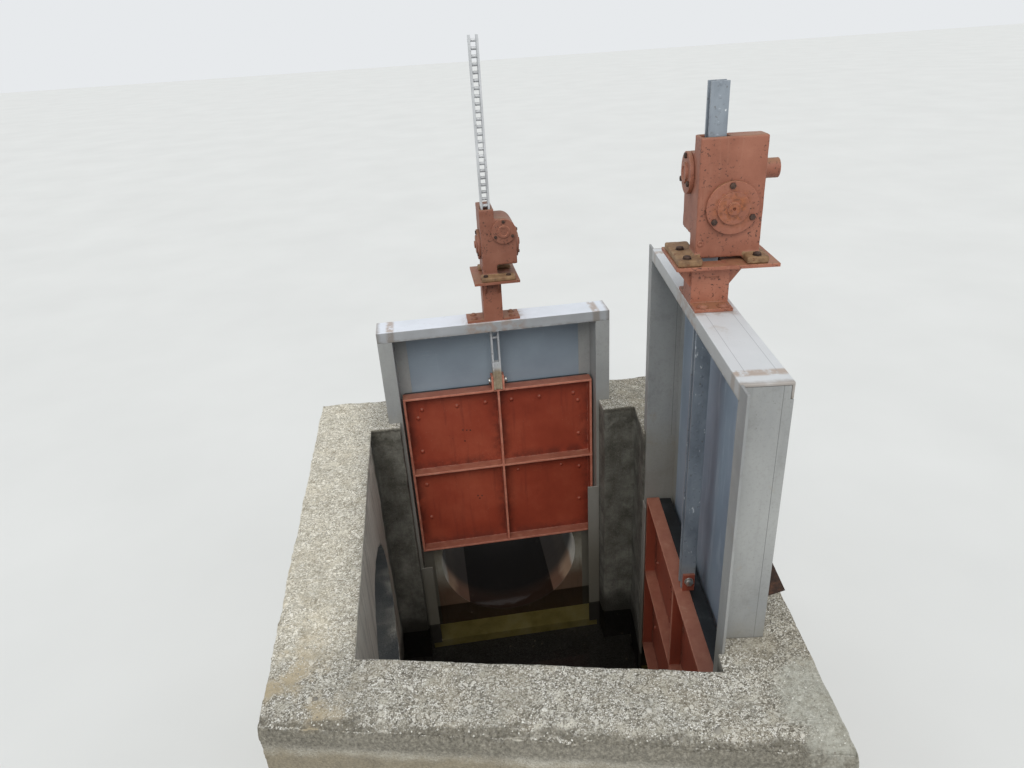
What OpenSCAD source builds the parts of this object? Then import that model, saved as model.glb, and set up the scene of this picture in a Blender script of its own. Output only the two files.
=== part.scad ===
// Concrete gate chamber with two rack-lifted sluice gates.
// Origin: centre of the underside. X runs along the rear gate, Y points away
// from the front wall, Z is up. Heights named "drop" are measured down from the rim.

/* [Chamber] */
// height of the concrete rim above the underside
rim_z = 1350; // [1300:10:1600]
// thickness of the floor slab
floor_t = 160; // [120:10:200]
// inner face of the left wall
left_x = -517; // [-560:1:-490]
// inner front left corner, along Y
front_left_y = -474; // [-520:1:-440]
// inner front right corner, along X
front_right_x = 326; // [310:1:332]
// inner front right corner, along Y
front_right_y = -675; // [-700:1:-665]
// inner back right corner, along Y
back_right_y = 587; // [575:1:600]
// inner back left corner, along Y
back_left_y = 636; // [620:1:650]
// thickness of the front wall
front_wall_t = 205; // [180:5:240]
// thickness of the right wall
right_wall_t = 213; // [200:1:240]
// thickness of the back wall
back_wall_t = 250; // [240:5:300]
// thickness of the left wall
left_wall_t = 208; // [180:1:240]

/* [Openings] */
// inside radius of the culvert pipes
culvert_r = 302; // [280:1:304]
// wall of the culvert pipes
pipe_t = 44; // [30:1:46]
// end of the rear culvert pipe behind its gate's front plane
rear_pipe_end = 620; // [500:10:700]
// end of the right culvert pipe behind its gate's front plane
right_pipe_end = 225; // [215:5:600]
// drop of the culvert centre below the rim
culvert_drop = 810; // [800:5:815]
// radius of the inlet hole in the left wall
inlet_r = 355; // [300:5:370]
// centre of the inlet hole along Y
inlet_y = 130; // [100:5:160]
// drop of the inlet centre below the rim
inlet_drop = 600; // [560:5:640]

/* [Gate frames] */
// outer width of the rear gate
rear_w = 860; // [850:1:880]
// outer width of the right gate
right_w = 1058; // [1050:1:1070]
// depth of both gate frames
frame_d = 110; // [106:1:120]
// front plane of the rear gate along Y
rear_y = 670; // [660:1:680]
// centre of the rear gate along X
rear_x = -20; // [-30:1:-10]
// centre of the right gate's front plane along X
right_x = 408; // [400:1:416]
// centre of the right gate's front plane along Y
right_y = -102; // [-106:1:-98]
// turn of the right gate from square
right_skew = 7.3; // [6.5:0.1:8]
// top of the rear top beam above the rim
rear_rise = 364; // [340:1:420]
// top of the right top beam above the rim
right_rise = 674; // [600:1:720]
// height of the top beams' lips
lip_h = 39; // [30:1:50]
// thickness of the frame plates
plate_t = 6; // [5:1:8]
// thickness of the top beam's plate
beam_t = 8; // [6:1:10]
// width of the posts' front flange, which points outward
front_flange = 53; // [50:1:56]
// width of the posts' back flange, which points inward
back_flange = 45; // [40:1:50]
// concrete over the outer part of a front flange
flange_cover = 42; // [30:1:44]
// height of the sill beam
sill_h = 40; // [36:1:44]
// top of the rear gate's right retainer strip, drop below the rim
retainer_drop = 410; // [380:1:440]
// top of the rear gate's left retainer strip, drop below the rim
left_retainer_drop = 718; // [600:1:900]
// top of the right gate's retainer strips, drop below the rim
right_retainer_drop = 295; // [250:1:400]
// reach of the retainer strips past the web
retainer_reach = 38; // [20:1:40]

/* [Leaves] */
// height of both leaves
leaf_h = 735; // [700:1:745]
// thickness of the skin plate
skin_t = 6; // [5:1:8]
// depth of the stiffening ribs
rib_d = 40; // [36:1:41]
// thickness of the ribs
rib_t = 9; // [8:1:12]
// margin between a rib's side and the frame's outside
leaf_margin = 60; // [60:1:64]
// front of the rear leaf behind the gate's front plane
rear_leaf_y = 40; // [36:1:40]
// front of the right leaf behind the gate's front plane
right_leaf_y = 6; // [6:1:10]
// thickness of the rear seal strip behind the skin
rear_seal_t = 12; // [10:1:12]
// thickness of the right seal strip behind the skin
right_seal_t = 42; // [38:1:44]
// width of the seal strips
seal_w = 20; // [14:1:22]
// radius of the seal strips' top corners
seal_r = 12; // [4:1:16]
// rear leaf, drop of its lower edge at rest
rear_leaf_drop = 667; // [660:1:680]
// right leaf, drop of its lower edge at rest
right_leaf_drop = 1010; // [1000:1:1020]

/* [Racks] */
// overall width of the right rack
rack_w = 38; // [34:1:40]
// depth of the right rack's side bars
rack_d = 42; // [38:1:44]
// thickness of the side bars
rack_bar_t = 8; // [6:1:9]
// diameter of the rack pins
rack_pin_d = 13; // [11:1:14]
// distance from pin to pin
rack_pitch = 28; // [26:1:32]
// height of the filler at the racks' feet
filler_h = 112; // [70:1:130]
// gap from the filler to the lowest pin of the right rack
pin_gap = 118; // [26:1:140]
// top of the rear rack above the rim at rest
rear_rack_top = 1310; // [1260:10:1360]
// top of the right rack above the rim at rest
right_rack_top = 1197; // [1150:1:1240]
// centre of both racks behind the gates' front planes
rack_y = 48; // [46:1:52]

/* [Hoists] */
// size of the rear hoist against the right one
rear_hoist_k = 0.84; // [0.82:0.01:0.88]
// height of the right hoist's casting
hoist_h = 294; // [285:1:300]
// height of the rear pedestal above its beam
rear_pedestal_h = 160; // [140:1:170]
// height of the right pedestal above its beam
right_pedestal_h = 111; // [100:1:130]
// half length of the rear pedestal's foot
rear_foot_half = 96; // [90:1:110]
// half length of the right pedestal's foot
right_foot_half = 90; // [86:1:100]
// gap under the hoists' housings
house_gap = 55; // [40:1:60]
// height of the wheel axis above the pedestal plate
wheel_z = 131; // [126:1:132]
// height of the worm axis above the pedestal plate
worm_z = 199; // [196:1:202]
// radius of the wheel cover
wheel_cover_r = 63; // [58:1:64]
// radius of the worm cover
worm_cover_r = 51; // [46:1:52]
// radius of the housings' top corner
house_r = 52; // [40:1:54]
// radius of the worm shaft's end
shaft_r = 24; // [20:1:25]
// length of the worm shaft's end
shaft_l = 54; // [40:1:60]

/* [Hidden] */
floor_z = floor_t;
foot_z = floor_z - rim_z;
sill_drop = -foot_z - sill_h;
right_a = -90 - right_skew;
pocket_reach = 300;
past = 20;
rear_k = rear_hoist_k;
right_k = 1;
rear_web = rear_w / 2 - front_flange;
right_web = right_w / 2 - front_flange;
strip_lap = 8;
post_play = 1;
mid_rise = 14;
lug_h = 62;
lug_hole = 0.6;
lug_t = 8;
lug_d = 36;
rack_bolt_d = 16;
rack_fit = 1;
rack_lift = 4;
rack_end = 6;
bolt_half = 39;
rack_slot = 6;
rack_run = 0.3;
ped_t = 9;
ped_wall = 7;
ped_col_x = 41;
ped_col_y = 47;
ped_x0 = -74;
ped_x1 = 118;
ped_y0 = -92;
ped_y1 = 158;
gusset_reach = 42;
gusset_drop = 55;
gusset_inset = 14;
box_x = 31;
box_y0 = -40;
box_y1 = 118;
box_wall = 8;
mouth_y = 30;
arch_h = 8;
foot_h = 18;
front_pad = 48;
back_pad = 14;
front_inset = 12;
back_inset = 40;
rear_pad_x = 42;
right_pad_x = 70;
pad_x1 = 102;
bracket_high = 218;
bracket_mid = 134;
bracket_low = 120;
bracket_reach = 38;
house_x = 118;
house_low = 43;
wheel_y = 42;
worm_x = 66;
cover_mid = 0.61;
cover_top = 0.24;
cover_t = 10;
step_t = 6;
grease_r = 4;
shaft_lip = 4;

// the right wall runs with its gate
back_right_x = front_right_x + (back_right_y - front_right_y) * tan(right_skew);
// inner corners, counter-clockwise from the front left
inner = [[left_x, front_left_y], [front_right_x, front_right_y],
         [back_right_x, back_right_y], [left_x, back_left_y]];
wall_t = [front_wall_t, right_wall_t, back_wall_t, left_wall_t];

// point i, wall i's direction and its outer line
function pt(i) = inner[(i + 4) % 4];
function dir(i) = (pt(i + 1) - pt(i)) / norm(pt(i + 1) - pt(i));
function out(i) = [dir(i)[1], -dir(i)[0]];
function base(i) = pt(i) + out(i) * wall_t[(i + 4) % 4];
function cross2(a, b) = a[0] * b[1] - a[1] * b[0];
function along(i) = cross2(base(i - 1) - base(i), dir(i - 1)) / cross2(dir(i), dir(i - 1));
function corner(i) = base(i) + dir(i) * along(i);
outer = [for (i = [0:3]) corner(i)];

// box from one corner to the other
module block(a, b) translate(a) cube(b - a);

// a disc whose axis runs along X or along Y
module disc_x(p, r, l) translate(p) rotate([0, 90, 0]) cylinder(r = r, h = l, $fn = 64);
module disc_y(p, r, l) translate(p) rotate([-90, 0, 0]) cylinder(r = r, h = l, $fn = 64);

// gate frames: local X along the gate, Y away from the chamber, Z from the rim
module at_rear() translate([rear_x, rear_y, rim_z]) children();
module at_right() translate([right_x, right_y, rim_z]) rotate([0, 0, right_a]) children();

// concrete box with pockets for the frames and round openings behind them
module chamber_walls() color([0.62, 0.61, 0.57]) difference() {
  linear_extrude(height = rim_z) polygon(outer);
  translate([0, 0, floor_z]) linear_extrude(height = rim_z) polygon(inner);
  at_rear() pocket(rear_w, flange_cover);
  at_right() pocket(right_w, 0);
  at_rear() disc_y([0, 0, -culvert_drop], culvert_r + pipe_t, rear_pipe_end);
  at_right() disc_y([0, 0, -culvert_drop], culvert_r + pipe_t, right_pipe_end);
  disc_x([left_x - left_wall_t - past, inlet_y, rim_z - inlet_drop], inlet_r, left_wall_t + 2 * past);
}

// room for a frame; side is the concrete over the flange on the +X side
module pocket(w, side) {
  way = w / 2 - front_flange + plate_t;
  block([-way, 0, foot_z], [way, frame_d, past]);
  block([-w / 2, 0, foot_z], [w / 2, plate_t, past]);
  block([-w / 2 + flange_cover, -pocket_reach, foot_z], [w / 2 - side, plate_t, past]);
}

// pipe end set in the wall behind a frame
module culvert_pipe(reach) color([0.78, 0.77, 0.74]) difference() {
  disc_y([0, frame_d, -culvert_drop], culvert_r + pipe_t, reach - frame_d);
  disc_y([0, frame_d - past, -culvert_drop], culvert_r, reach);
}

// both posts: a web, a front flange that points outward and a back flange that
// points inward; tall flanges rise past the ends of the top beam
module side_posts(web, rise, tall) color([0.6, 0.6, 0.61]) for (m = [0, 1]) mirror([m, 0, 0]) {
  post_top = rise - lip_h;
  block([web, plate_t + post_play, post_top], [web + plate_t, frame_d - plate_t - post_play, rise - beam_t]);
  if (tall) block([web + plate_t, 0, post_top], [web + front_flange, plate_t, rise]);
  block([web, plate_t, foot_z], [web + plate_t, frame_d, post_top]);
  block([web, 0, foot_z], [web + front_flange, plate_t, post_top]);
  block([web - back_flange, frame_d - plate_t, foot_z], [web, frame_d, post_top]);
}

// channel with its lips down, slotted for the rack
module top_beam(half, rise, k) color([0.85, 0.85, 0.88]) difference() {
  block([-half, 0, rise - lip_h], [half, frame_d, rise]);
  block([-half - past, plate_t, rise - lip_h - past], [half + past, frame_d - plate_t, rise - beam_t]);
  rack_hole(k, rise - lip_h - past, rise + past);
}

// room for the rack to pass
module rack_hole(k, z0, z1) block(
  [-(rack_w / 2 + rack_slot) * k, rack_y - (rack_d / 2 + rack_slot) * k, z0],
  [(rack_w / 2 + rack_slot) * k, rack_y + (rack_d / 2 + rack_slot) * k, z1]);

module right_top_beam() at_right() top_beam(right_web + plate_t, right_rise, right_k);

// plates between the back flanges, above and around the culvert
module breast_plate(web, rise) color([0.44, 0.48, 0.52])
  block([back_flange - web, frame_d - plate_t, -retainer_drop], [web - back_flange, frame_d, rise - lip_h]);

module culvert_plate(web) color([0.5, 0.52, 0.52]) difference() {
  block([back_flange - web, frame_d - plate_t, foot_z], [web - back_flange, frame_d, -retainer_drop]);
  disc_y([0, 0, -culvert_drop], culvert_r, frame_d + past);
}

// channel across the foot of the frame
module sill_beam(web) color([0.55, 0.5, 0.36]) difference() {
  block([-web, plate_t, foot_z], [web, frame_d - plate_t, -sill_drop]);
  block([-web - past, plate_t * 2, foot_z - past],
    [web + past, frame_d - plate_t * 2, -sill_drop - plate_t]);
}

// flat strips on the front flanges that keep the leaf in its frame
module retainer_strips(web, right_drop, left_drop) color([0.66, 0.66, 0.66])
  for (m = [0, 1]) mirror([m, 0, 0])
    block([web - retainer_reach, -plate_t, -sill_drop],
      [web + strip_lap, 0, m == 0 ? -right_drop : -left_drop]);

module rear_strips() at_rear() retainer_strips(rear_web, retainer_drop, left_retainer_drop);
module right_strips() at_right()
  retainer_strips(right_web, right_retainer_drop, right_retainer_drop);

// skin plate with border, middle and centre ribs; front is the ribs' front
module gate_leaf(w, drop, front) color([0.5, 0.2, 0.18]) {
  hw = w / 2 - leaf_margin;
  mid = -drop + leaf_h / 2 + mid_rise;
  skin_y = front + rib_d;
  block([-hw, skin_y, -drop], [hw, skin_y + skin_t, -drop + leaf_h]);
  for (z = [-drop, mid, -drop + leaf_h - rib_t]) block([-hw, front, z], [hw, skin_y, z + rib_t]);
  for (m = [0, 1]) mirror([m, 0, 0]) block([hw - rib_t, front, -drop], [hw, skin_y, -drop + leaf_h]);
  block([-rib_t / 2, front, -drop], [rib_t / 2, skin_y, -drop + leaf_h]);
}

// rubber frame on the back of the skin, round at its top corners
module leaf_seal(w, drop, front, t) color([0.08, 0.08, 0.08])
  translate([0, front + rib_d + skin_t + t, -drop]) rotate([90, 0, 0])
  linear_extrude(height = t) difference() {
    hw = w / 2 - leaf_margin;
    union() {
      translate([-hw, 0]) square([2 * hw, leaf_h - seal_r]);
      translate([seal_r - hw, 0]) square([2 * (hw - seal_r), leaf_h]);
      for (x = [seal_r - hw, hw - seal_r]) translate([x, leaf_h - seal_r]) circle(r = seal_r, $fn = 48);
    }
    translate([seal_w - hw, seal_w]) square([2 * (hw - seal_w), leaf_h - 2 * seal_w]);
  }

module rear_seal() at_rear() leaf_seal(rear_w, rear_leaf_drop, rear_leaf_y, rear_seal_t);
module right_seal() at_right() leaf_seal(right_w, right_leaf_drop, right_leaf_y, right_seal_t);

// ears on the leaf's top that hold the rack's end
module rack_lugs(drop, k) color([0.5, 0.2, 0.18]) difference() {
  top = -drop + leaf_h;
  for (m = [0, 1]) mirror([m, 0, 0])
    block([rack_w * k / 2 + rack_fit, rack_y - lug_d / 2, top],
      [rack_w * k / 2 + rack_fit + lug_t, rack_y + lug_d / 2, top + lug_h]);
  disc_x([-bolt_half - past, rack_y, top + lug_h * lug_hole], rack_bolt_d / 2, 2 * (bolt_half + past));
}

module rack_bolt(drop, k) color([0.75, 0.75, 0.75])
  disc_x([-bolt_half * k, rack_y, -drop + leaf_h + lug_h * lug_hole], rack_bolt_d / 2, bolt_half * 2 * k);

// side bars of the rack with a filler at the foot
module rack_bars(drop, top, k) color([0.6, 0.62, 0.66]) difference() {
  foot = -drop + leaf_h + rack_lift;
  union() {
    for (m = [0, 1]) mirror([m, 0, 0])
      block([(rack_w / 2 - rack_bar_t) * k, rack_y - rack_d * k / 2, foot],
        [rack_w * k / 2, rack_y + rack_d * k / 2, top]);
    block([-(rack_w / 2 - rack_bar_t) * k, rack_y - rack_d * k / 3, foot],
      [(rack_w / 2 - rack_bar_t) * k, rack_y + rack_d * k / 3, foot + filler_h]);
  }
  disc_x([-bolt_half - past, rack_y, foot - rack_lift + lug_h * lug_hole], rack_bolt_d / 2,
    2 * (bolt_half + past));
}

module rack_pins(drop, top, k) color([0.5, 0.52, 0.55]) {
  first = -drop + leaf_h + rack_lift + filler_h + pin_gap * k;
  count = floor((top - rack_end - first) / (rack_pitch * k));
  for (i = [0:count]) translate([-(rack_w / 2 - rack_bar_t) * k, rack_y, first + i * rack_pitch * k])
    rotate([0, 90, 0]) cylinder(d = rack_pin_d * k, h = (rack_w - 2 * rack_bar_t) * k, $fn = 8);
}

module rear_rack_bars() at_rear() rack_bars(rear_leaf_drop, rear_rack_top, rear_k);
module right_rack_bars() at_right() rack_bars(right_leaf_drop, right_rack_top, right_k);
module rear_rack_pins() at_rear() rack_pins(rear_leaf_drop, rear_rack_top, rear_k);
module right_rack_pins() at_right() rack_pins(right_leaf_drop, right_rack_top, right_k);

// hoist parts: local origin on the pedestal plate, on the rack's axis
module at_hoist(rise, h, k) translate([0, rack_y, rise + h]) scale([k, k, k]) children();
module at_rear_hoist() at_rear() at_hoist(rear_rise, rear_pedestal_h, rear_k) children();
// the right hoist is the mirror image of the rear one
module at_right_hoist() at_right() at_hoist(right_rise, right_pedestal_h, right_k)
  mirror([1, 0, 0]) children();

// box column between the beam and the hoist's plate
module pedestal(rise, h, k, foot) color([0.66, 0.39, 0.33]) difference() {
  union() {
    block([-foot, rack_y - ped_col_y * k, rise], [foot, rack_y + ped_col_y * k, rise + ped_t]);
    block([-ped_col_x * k, rack_y - ped_col_y * k, rise + ped_t],
      [ped_col_x * k, rack_y + ped_col_y * k, rise + h - ped_t]);
    block([ped_x0 * k, rack_y + ped_y0 * k, rise + h - ped_t],
      [ped_x1 * k, rack_y + ped_y1 * k, rise + h]);
    for (s = [-1, 1], x = [-1, 1]) gusset(rise + h - ped_t, s, x * (ped_col_x - gusset_inset) * k, k);
  }
  block([-(ped_col_x - ped_wall) * k, rack_y - (ped_col_y - ped_wall) * k, rise + ped_t],
    [(ped_col_x - ped_wall) * k, rack_y + (ped_col_y - ped_wall) * k, rise + h - ped_t]);
  rack_hole(k, rise - past, rise + h + past);
}

module rear_pedestal() at_rear() pedestal(rear_rise, rear_pedestal_h, rear_k, rear_foot_half);
module right_pedestal() at_right() mirror([1, 0, 0])
  pedestal(right_rise, right_pedestal_h, right_k, right_foot_half);

// web under the plate's front (s = -1) or back (s = 1) edge
module gusset(z, s, x, k) translate([x - ped_wall * k / 2, rack_y, z]) rotate([90, 0, 90])
  linear_extrude(height = ped_wall * k)
    polygon([[s * ped_col_y * k, 0], [s * (ped_col_y + gusset_reach) * k, 0],
             [s * ped_col_y * k, -gusset_drop * k]]);

// guide box round the rack with the worm housing beside it
module hoist_casting(pad_x) color([0.69, 0.41, 0.35]) difference() {
  union() {
    block([-box_x, box_y0, arch_h], [box_x, box_y1, hoist_h]);
    translate([0, box_y1, 0]) rotate([90, 0, 0]) linear_extrude(height = box_y1 - box_y0) {
      house_top = hoist_h - house_low;
      translate([box_x, house_gap]) square([house_x - box_x, house_top - house_r - house_gap]);
      translate([box_x, house_gap]) square([house_x - box_x - house_r, house_top - house_gap]);
      translate([house_x - house_r, house_top - house_r]) circle(r = house_r, $fn = 64);
    }
    block([-pad_x, box_y0 - front_pad, 0], [pad_x1, box_y0 + front_inset, foot_h]);
    block([-pad_x, box_y1 - back_inset, 0], [pad_x1, box_y1 + back_pad, foot_h]);
  }
  block([-rack_w / 2 - rack_run, box_y0 + box_wall, -past],
    [rack_w / 2 + rack_run, mouth_y, hoist_h + past]);
}

// stepped round cover over one end of the wheel's axis, facing along the gate
module side_cover(x) color([0.7, 0.43, 0.36]) translate([x, wheel_y, wheel_z]) difference() {
  union() {
    disc_x([0, 0, 0], wheel_cover_r, cover_t);
    disc_x([cover_t, 0, 0], wheel_cover_r * cover_mid, step_t);
    disc_x([cover_t + step_t, 0, 0], wheel_cover_r * cover_top, step_t);
  }
  disc_x([cover_t + step_t, 0, 0], grease_r, past);
}

module wheel_cover() side_cover(house_x);
module shaft_cover() mirror([1, 0, 0]) side_cover(box_x);

module worm_cover() color([0.7, 0.43, 0.36]) difference() {
  union() {
    disc_y([worm_x, box_y0 - cover_t, worm_z], worm_cover_r, cover_t);
    disc_y([worm_x, box_y0 - cover_t - step_t, worm_z], worm_cover_r * 0.5, step_t);
  }
  disc_y([worm_x, box_y0 - cover_t - step_t - past, worm_z], worm_cover_r * 0.32, past + step_t / 2);
}

// end of the worm's shaft, where a crank goes
module worm_shaft() color([0.6, 0.5, 0.45]) {
  disc_y([worm_x, box_y1, worm_z], shaft_r + shaft_lip, shaft_lip);
  disc_y([worm_x, box_y1 + shaft_lip, worm_z], shaft_r, shaft_l);
}

// rusty web left on the near post's back edge
module post_bracket() color([0.5, 0.3, 0.18])
  translate([right_web, 0, 0]) rotate([90, 0, 90]) linear_extrude(height = plate_t)
    polygon([[frame_d, bracket_high], [frame_d + bracket_reach, bracket_mid], [frame_d, bracket_low]]);

chamber_walls();
at_rear() culvert_pipe(rear_pipe_end);  // rear_culvert_pipe
at_rear() side_posts(rear_web, rear_rise, false);  // rear_side_posts
at_rear() top_beam(rear_w / 2, rear_rise, rear_k);  // rear_top_beam
at_rear() breast_plate(rear_web, rear_rise);  // rear_breast_plate
at_rear() culvert_plate(rear_web);  // rear_culvert_plate
at_rear() sill_beam(rear_web);  // rear_sill_beam
rear_strips();  // rear_retainer_strips
rear_pedestal();  // rear_hoist_pedestal
at_rear_hoist() hoist_casting(rear_pad_x);  // rear_hoist_casting
at_rear_hoist() worm_cover();  // rear_worm_cover
at_rear_hoist() wheel_cover();  // rear_wheel_cover
at_rear_hoist() shaft_cover();  // rear_shaft_cover
at_rear_hoist() worm_shaft();  // rear_worm_shaft
at_rear() gate_leaf(rear_w, rear_leaf_drop, rear_leaf_y);  // rear_gate_leaf
rear_seal();  // rear_leaf_seal
at_rear() rack_lugs(rear_leaf_drop, rear_k);  // rear_rack_lugs
at_rear() rack_bolt(rear_leaf_drop, rear_k);  // rear_rack_bolt
rear_rack_bars();
rear_rack_pins();
at_right() culvert_pipe(right_pipe_end);  // right_culvert_pipe
at_right() side_posts(right_web, right_rise, true);  // right_side_posts
right_top_beam();
at_right() breast_plate(right_web, right_rise);  // right_breast_plate
at_right() culvert_plate(right_web);  // right_culvert_plate
at_right() sill_beam(right_web);  // right_sill_beam
right_strips();  // right_retainer_strips
at_right() post_bracket();  // right_post_bracket
right_pedestal();  // right_hoist_pedestal
at_right_hoist() hoist_casting(right_pad_x);  // right_hoist_casting
at_right_hoist() worm_cover();  // right_worm_cover
at_right_hoist() wheel_cover();  // right_wheel_cover
at_right_hoist() shaft_cover();  // right_shaft_cover
at_right_hoist() worm_shaft();  // right_worm_shaft
at_right() gate_leaf(right_w, right_leaf_drop, right_leaf_y);  // right_gate_leaf
right_seal();  // right_leaf_seal
at_right() rack_lugs(right_leaf_drop, right_k);  // right_rack_lugs
at_right() rack_bolt(right_leaf_drop, right_k);  // right_rack_bolt
right_rack_bars();
right_rack_pins();
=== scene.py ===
import math
import random

import bmesh
import bpy
import numpy as np
from mathutils import Matrix, Vector, noise
from mathutils.bvhtree import BVHTree
from mathutils.geometry import convex_hull_2d, delaunay_2d_cdt
from mathutils.kdtree import KDTree


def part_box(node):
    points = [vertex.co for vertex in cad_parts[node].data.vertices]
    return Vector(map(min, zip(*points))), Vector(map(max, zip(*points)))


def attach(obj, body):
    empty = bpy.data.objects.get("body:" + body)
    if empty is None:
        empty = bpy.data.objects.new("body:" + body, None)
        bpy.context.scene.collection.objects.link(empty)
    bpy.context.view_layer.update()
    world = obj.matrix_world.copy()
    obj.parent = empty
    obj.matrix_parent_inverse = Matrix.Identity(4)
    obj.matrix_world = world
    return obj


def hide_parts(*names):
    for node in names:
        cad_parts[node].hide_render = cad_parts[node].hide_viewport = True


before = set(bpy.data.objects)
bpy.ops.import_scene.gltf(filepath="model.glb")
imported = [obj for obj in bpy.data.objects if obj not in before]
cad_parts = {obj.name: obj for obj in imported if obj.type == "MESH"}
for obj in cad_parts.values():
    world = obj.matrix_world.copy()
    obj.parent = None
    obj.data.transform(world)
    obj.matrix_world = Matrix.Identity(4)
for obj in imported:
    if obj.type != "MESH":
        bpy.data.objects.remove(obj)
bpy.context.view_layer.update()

# Camera, from the photograph's own perspective
CAMERA_PLACE = Vector((-0.240, -1.798, 2.694))
CAMERA_YAW = 0.109
CAMERA_PITCH = 0.463
CAMERA_ROLL = -0.063
CAMERA_LENS = 25.60
CAMERA_SENSOR = 36.0

# Chamber
RIM_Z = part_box("chamber_walls")[1].z
WATER_Z = 0.310
INNER_CORNERS = [Vector((-0.517, -0.474)), Vector((0.326, -0.675)),
                 Vector((0.4877, 0.587)), Vector((-0.517, 0.636))]
CULVERT_R = 0.302
CULVERT_DROP = 0.810
INLET_Y = 0.130
INLET_Z = 0.750
INLET_R = 0.355

# Gate frames: local X runs along the gate, Y away from the chamber, Z up from the rim
FRAME_D = 0.110
PLATE_T = 0.006
FRONT_FLANGE = 0.053
FLANGE_COVER = 0.042
LEAF_MARGIN = 0.060
RIB_D = 0.040
RACK_Y = 0.048
RACK_PITCH = 0.028
RACK_PIN_R = 0.0065
RACK_W = 0.038
RACK_BAR_T = 0.008
FLAT_RIVET = [(0, 0), (0.0048, 0), (0.0044, 0.0009), (0, 0.0010)]
TOP_RIVET = [(0, 0), (0.0062, 0), (0.0060, 0.0011), (0.0040, 0.0022), (0, 0.0026)]
LUG_PLAY = 0.001
LUG_T = 0.008

# Leaf ribs and welds
RIB_T = 0.009
MIDDLE_RIB_UP = 0.0185
LEAF_WELD_R = 0.0026
COLUMN_WELD_R = 0.0034
MARK_WELD_R = 0.0020
COVER_T = 0.0095
PLATFORM_T = 0.009

# Bolt heads: radius and height of domes; width across, height and washer of hexagons
LEAF_BOLT = (0.0068, 0.0070)
MIDDLE_BOLT = (0.0055, 0.0050)
FOOT_BOLT = (0.0115, 0.0085)
WHEEL_BOLT = (0.0135, 0.006)
WORM_BOLT = (0.0125, 0.006)
PAD_BOLT = (0.017, 0.006, 0.0110)
CLEVIS_HEAD = (0.022, 0.0095, 0.014)
CLEVIS_NUT = (0.022, 0.0085, 0.014)

# Light
SKY_COLOUR = (0.93, 0.97, 1.0, 1)
SKY_STRENGTH = 0.80
BACKDROP_COLOUR = (0.80, 0.82, 0.84, 1)
SUN_FROM = Vector((-0.12, -0.80, 0.85))
SUN_ENERGY = 1.5
SUN_SPREAD = math.radians(40)
SUN_COLOUR = (1.0, 0.98, 0.94)


class Gate:
    """One gate frame with its own local axes. Its hoist is mirrored where hand is -1."""

    def __init__(self, name, place, turn, width, size, hand):
        self.name = name
        self.width = width
        self.size = size
        self.hand = hand
        self.web = width / 2 - FRONT_FLANGE
        self.side = width / 2 - LEAF_MARGIN
        self.leaf_body = name + "_leaf"
        self.matrix = Matrix.Translation(Vector((*place, RIM_Z))) @ Matrix.Rotation(turn, 4, "Z")
        self.inverse = self.matrix.inverted()
        self.rise = self.box("top_beam")[1].z
        self.hoist_z = self.box("hoist_pedestal")[1].z
        self.leaf_low = self.box("gate_leaf")[0].z
        self.leaf_top = self.box("gate_leaf")[1].z
        self.leaf_y = self.box("gate_leaf")[0].y
        self.skin_y = self.leaf_y + RIB_D
        self.rib_z = (self.leaf_low + self.leaf_top) / 2 + MIDDLE_RIB_UP
        self.beam_half = self.box("top_beam")[1].x
        self.pipe_end = self.box("culvert_pipe")[1].y

    def node(self, part):
        return self.name + "_" + part

    def box(self, part):
        """Lowest and highest corner of one of the gate's nodes along the gate's own axes."""
        points = [self.inverse @ v.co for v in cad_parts[self.node(part)].data.vertices]
        lows = [min(p[i] for p in points) for i in range(3)]
        highs = [max(p[i] for p in points) for i in range(3)]
        return Vector(lows), Vector(highs)

    def hoist(self):
        """Matrix of the hoist's own axes, at its own size."""
        return self.matrix @ Matrix.Translation((0, RACK_Y, self.hoist_z)) @ Matrix.Scale(self.size, 4)


REAR = Gate("rear", (-0.020, 0.670), 0.0, 0.860, 0.84, 1)
RIGHT = Gate("right", (0.408, -0.102), math.radians(-97.3), 1.058, 1.0, -1)
GATES = (REAR, RIGHT)


# Hoists, in the right hoist's own metres; the rear one is the same at a smaller size
BOX_X = 0.031
BOX_Y = (-0.040, 0.118)
HOUSE_X = 0.118
WHEEL = (0.042, 0.131)
WORM = (0.066, 0.199)
FOOT_H = 0.018
COLUMN_X = 0.041
PLUG = [(0, 0), (0.008, 0), (0.008, 0.0015), (0.0062, 0.0024), (0.0036, 0.0022),
        (0.003, 0.0008), (0, 0.0008)]
PLUG_YZ = (-0.028, 0.046)
WHEEL_BOLTS_R = 0.053
WHEEL_BOLTS_AT = (95, 216, 334)
WORM_BOLTS_R = 0.041
WORM_BOLTS_AT = (90, 210, 330)
PAD_BOLTS = {REAR: ((-0.023, -0.064), (0.074, -0.064), (0.074, 0.105)),
             RIGHT: ((-0.054, -0.064), (0.028, -0.064), (-0.054, 0.105), (0.074, 0.105))}
FOOT_BOLTS_X = {REAR: 0.083, RIGHT: 0.074}
FOOT_BOLTS_Y = (-0.024, 0.026)
COLUMN_WELD_Y = 0.044
MARK_Y = (-0.014, 0.020)
MARK_SHARE = 0.66
MARK_HALF = 0.005


def plan_sides(corners):
    """Start, direction and outward normal of each side of a plan given counter-clockwise."""
    for start, end in zip(corners, corners[1:] + corners[:1]):
        along = (end - start).normalized()
        yield start, along, Vector((along.y, -along.x))


def rgb(red, green, blue):
    """Linear colour of a screen colour in 0 to 255."""
    channels = [c / 255 for c in (red, green, blue)]
    return (*[c / 12.92 if c < 0.04 else ((c + 0.055) / 1.055) ** 2.4 for c in channels], 1.0)


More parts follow.
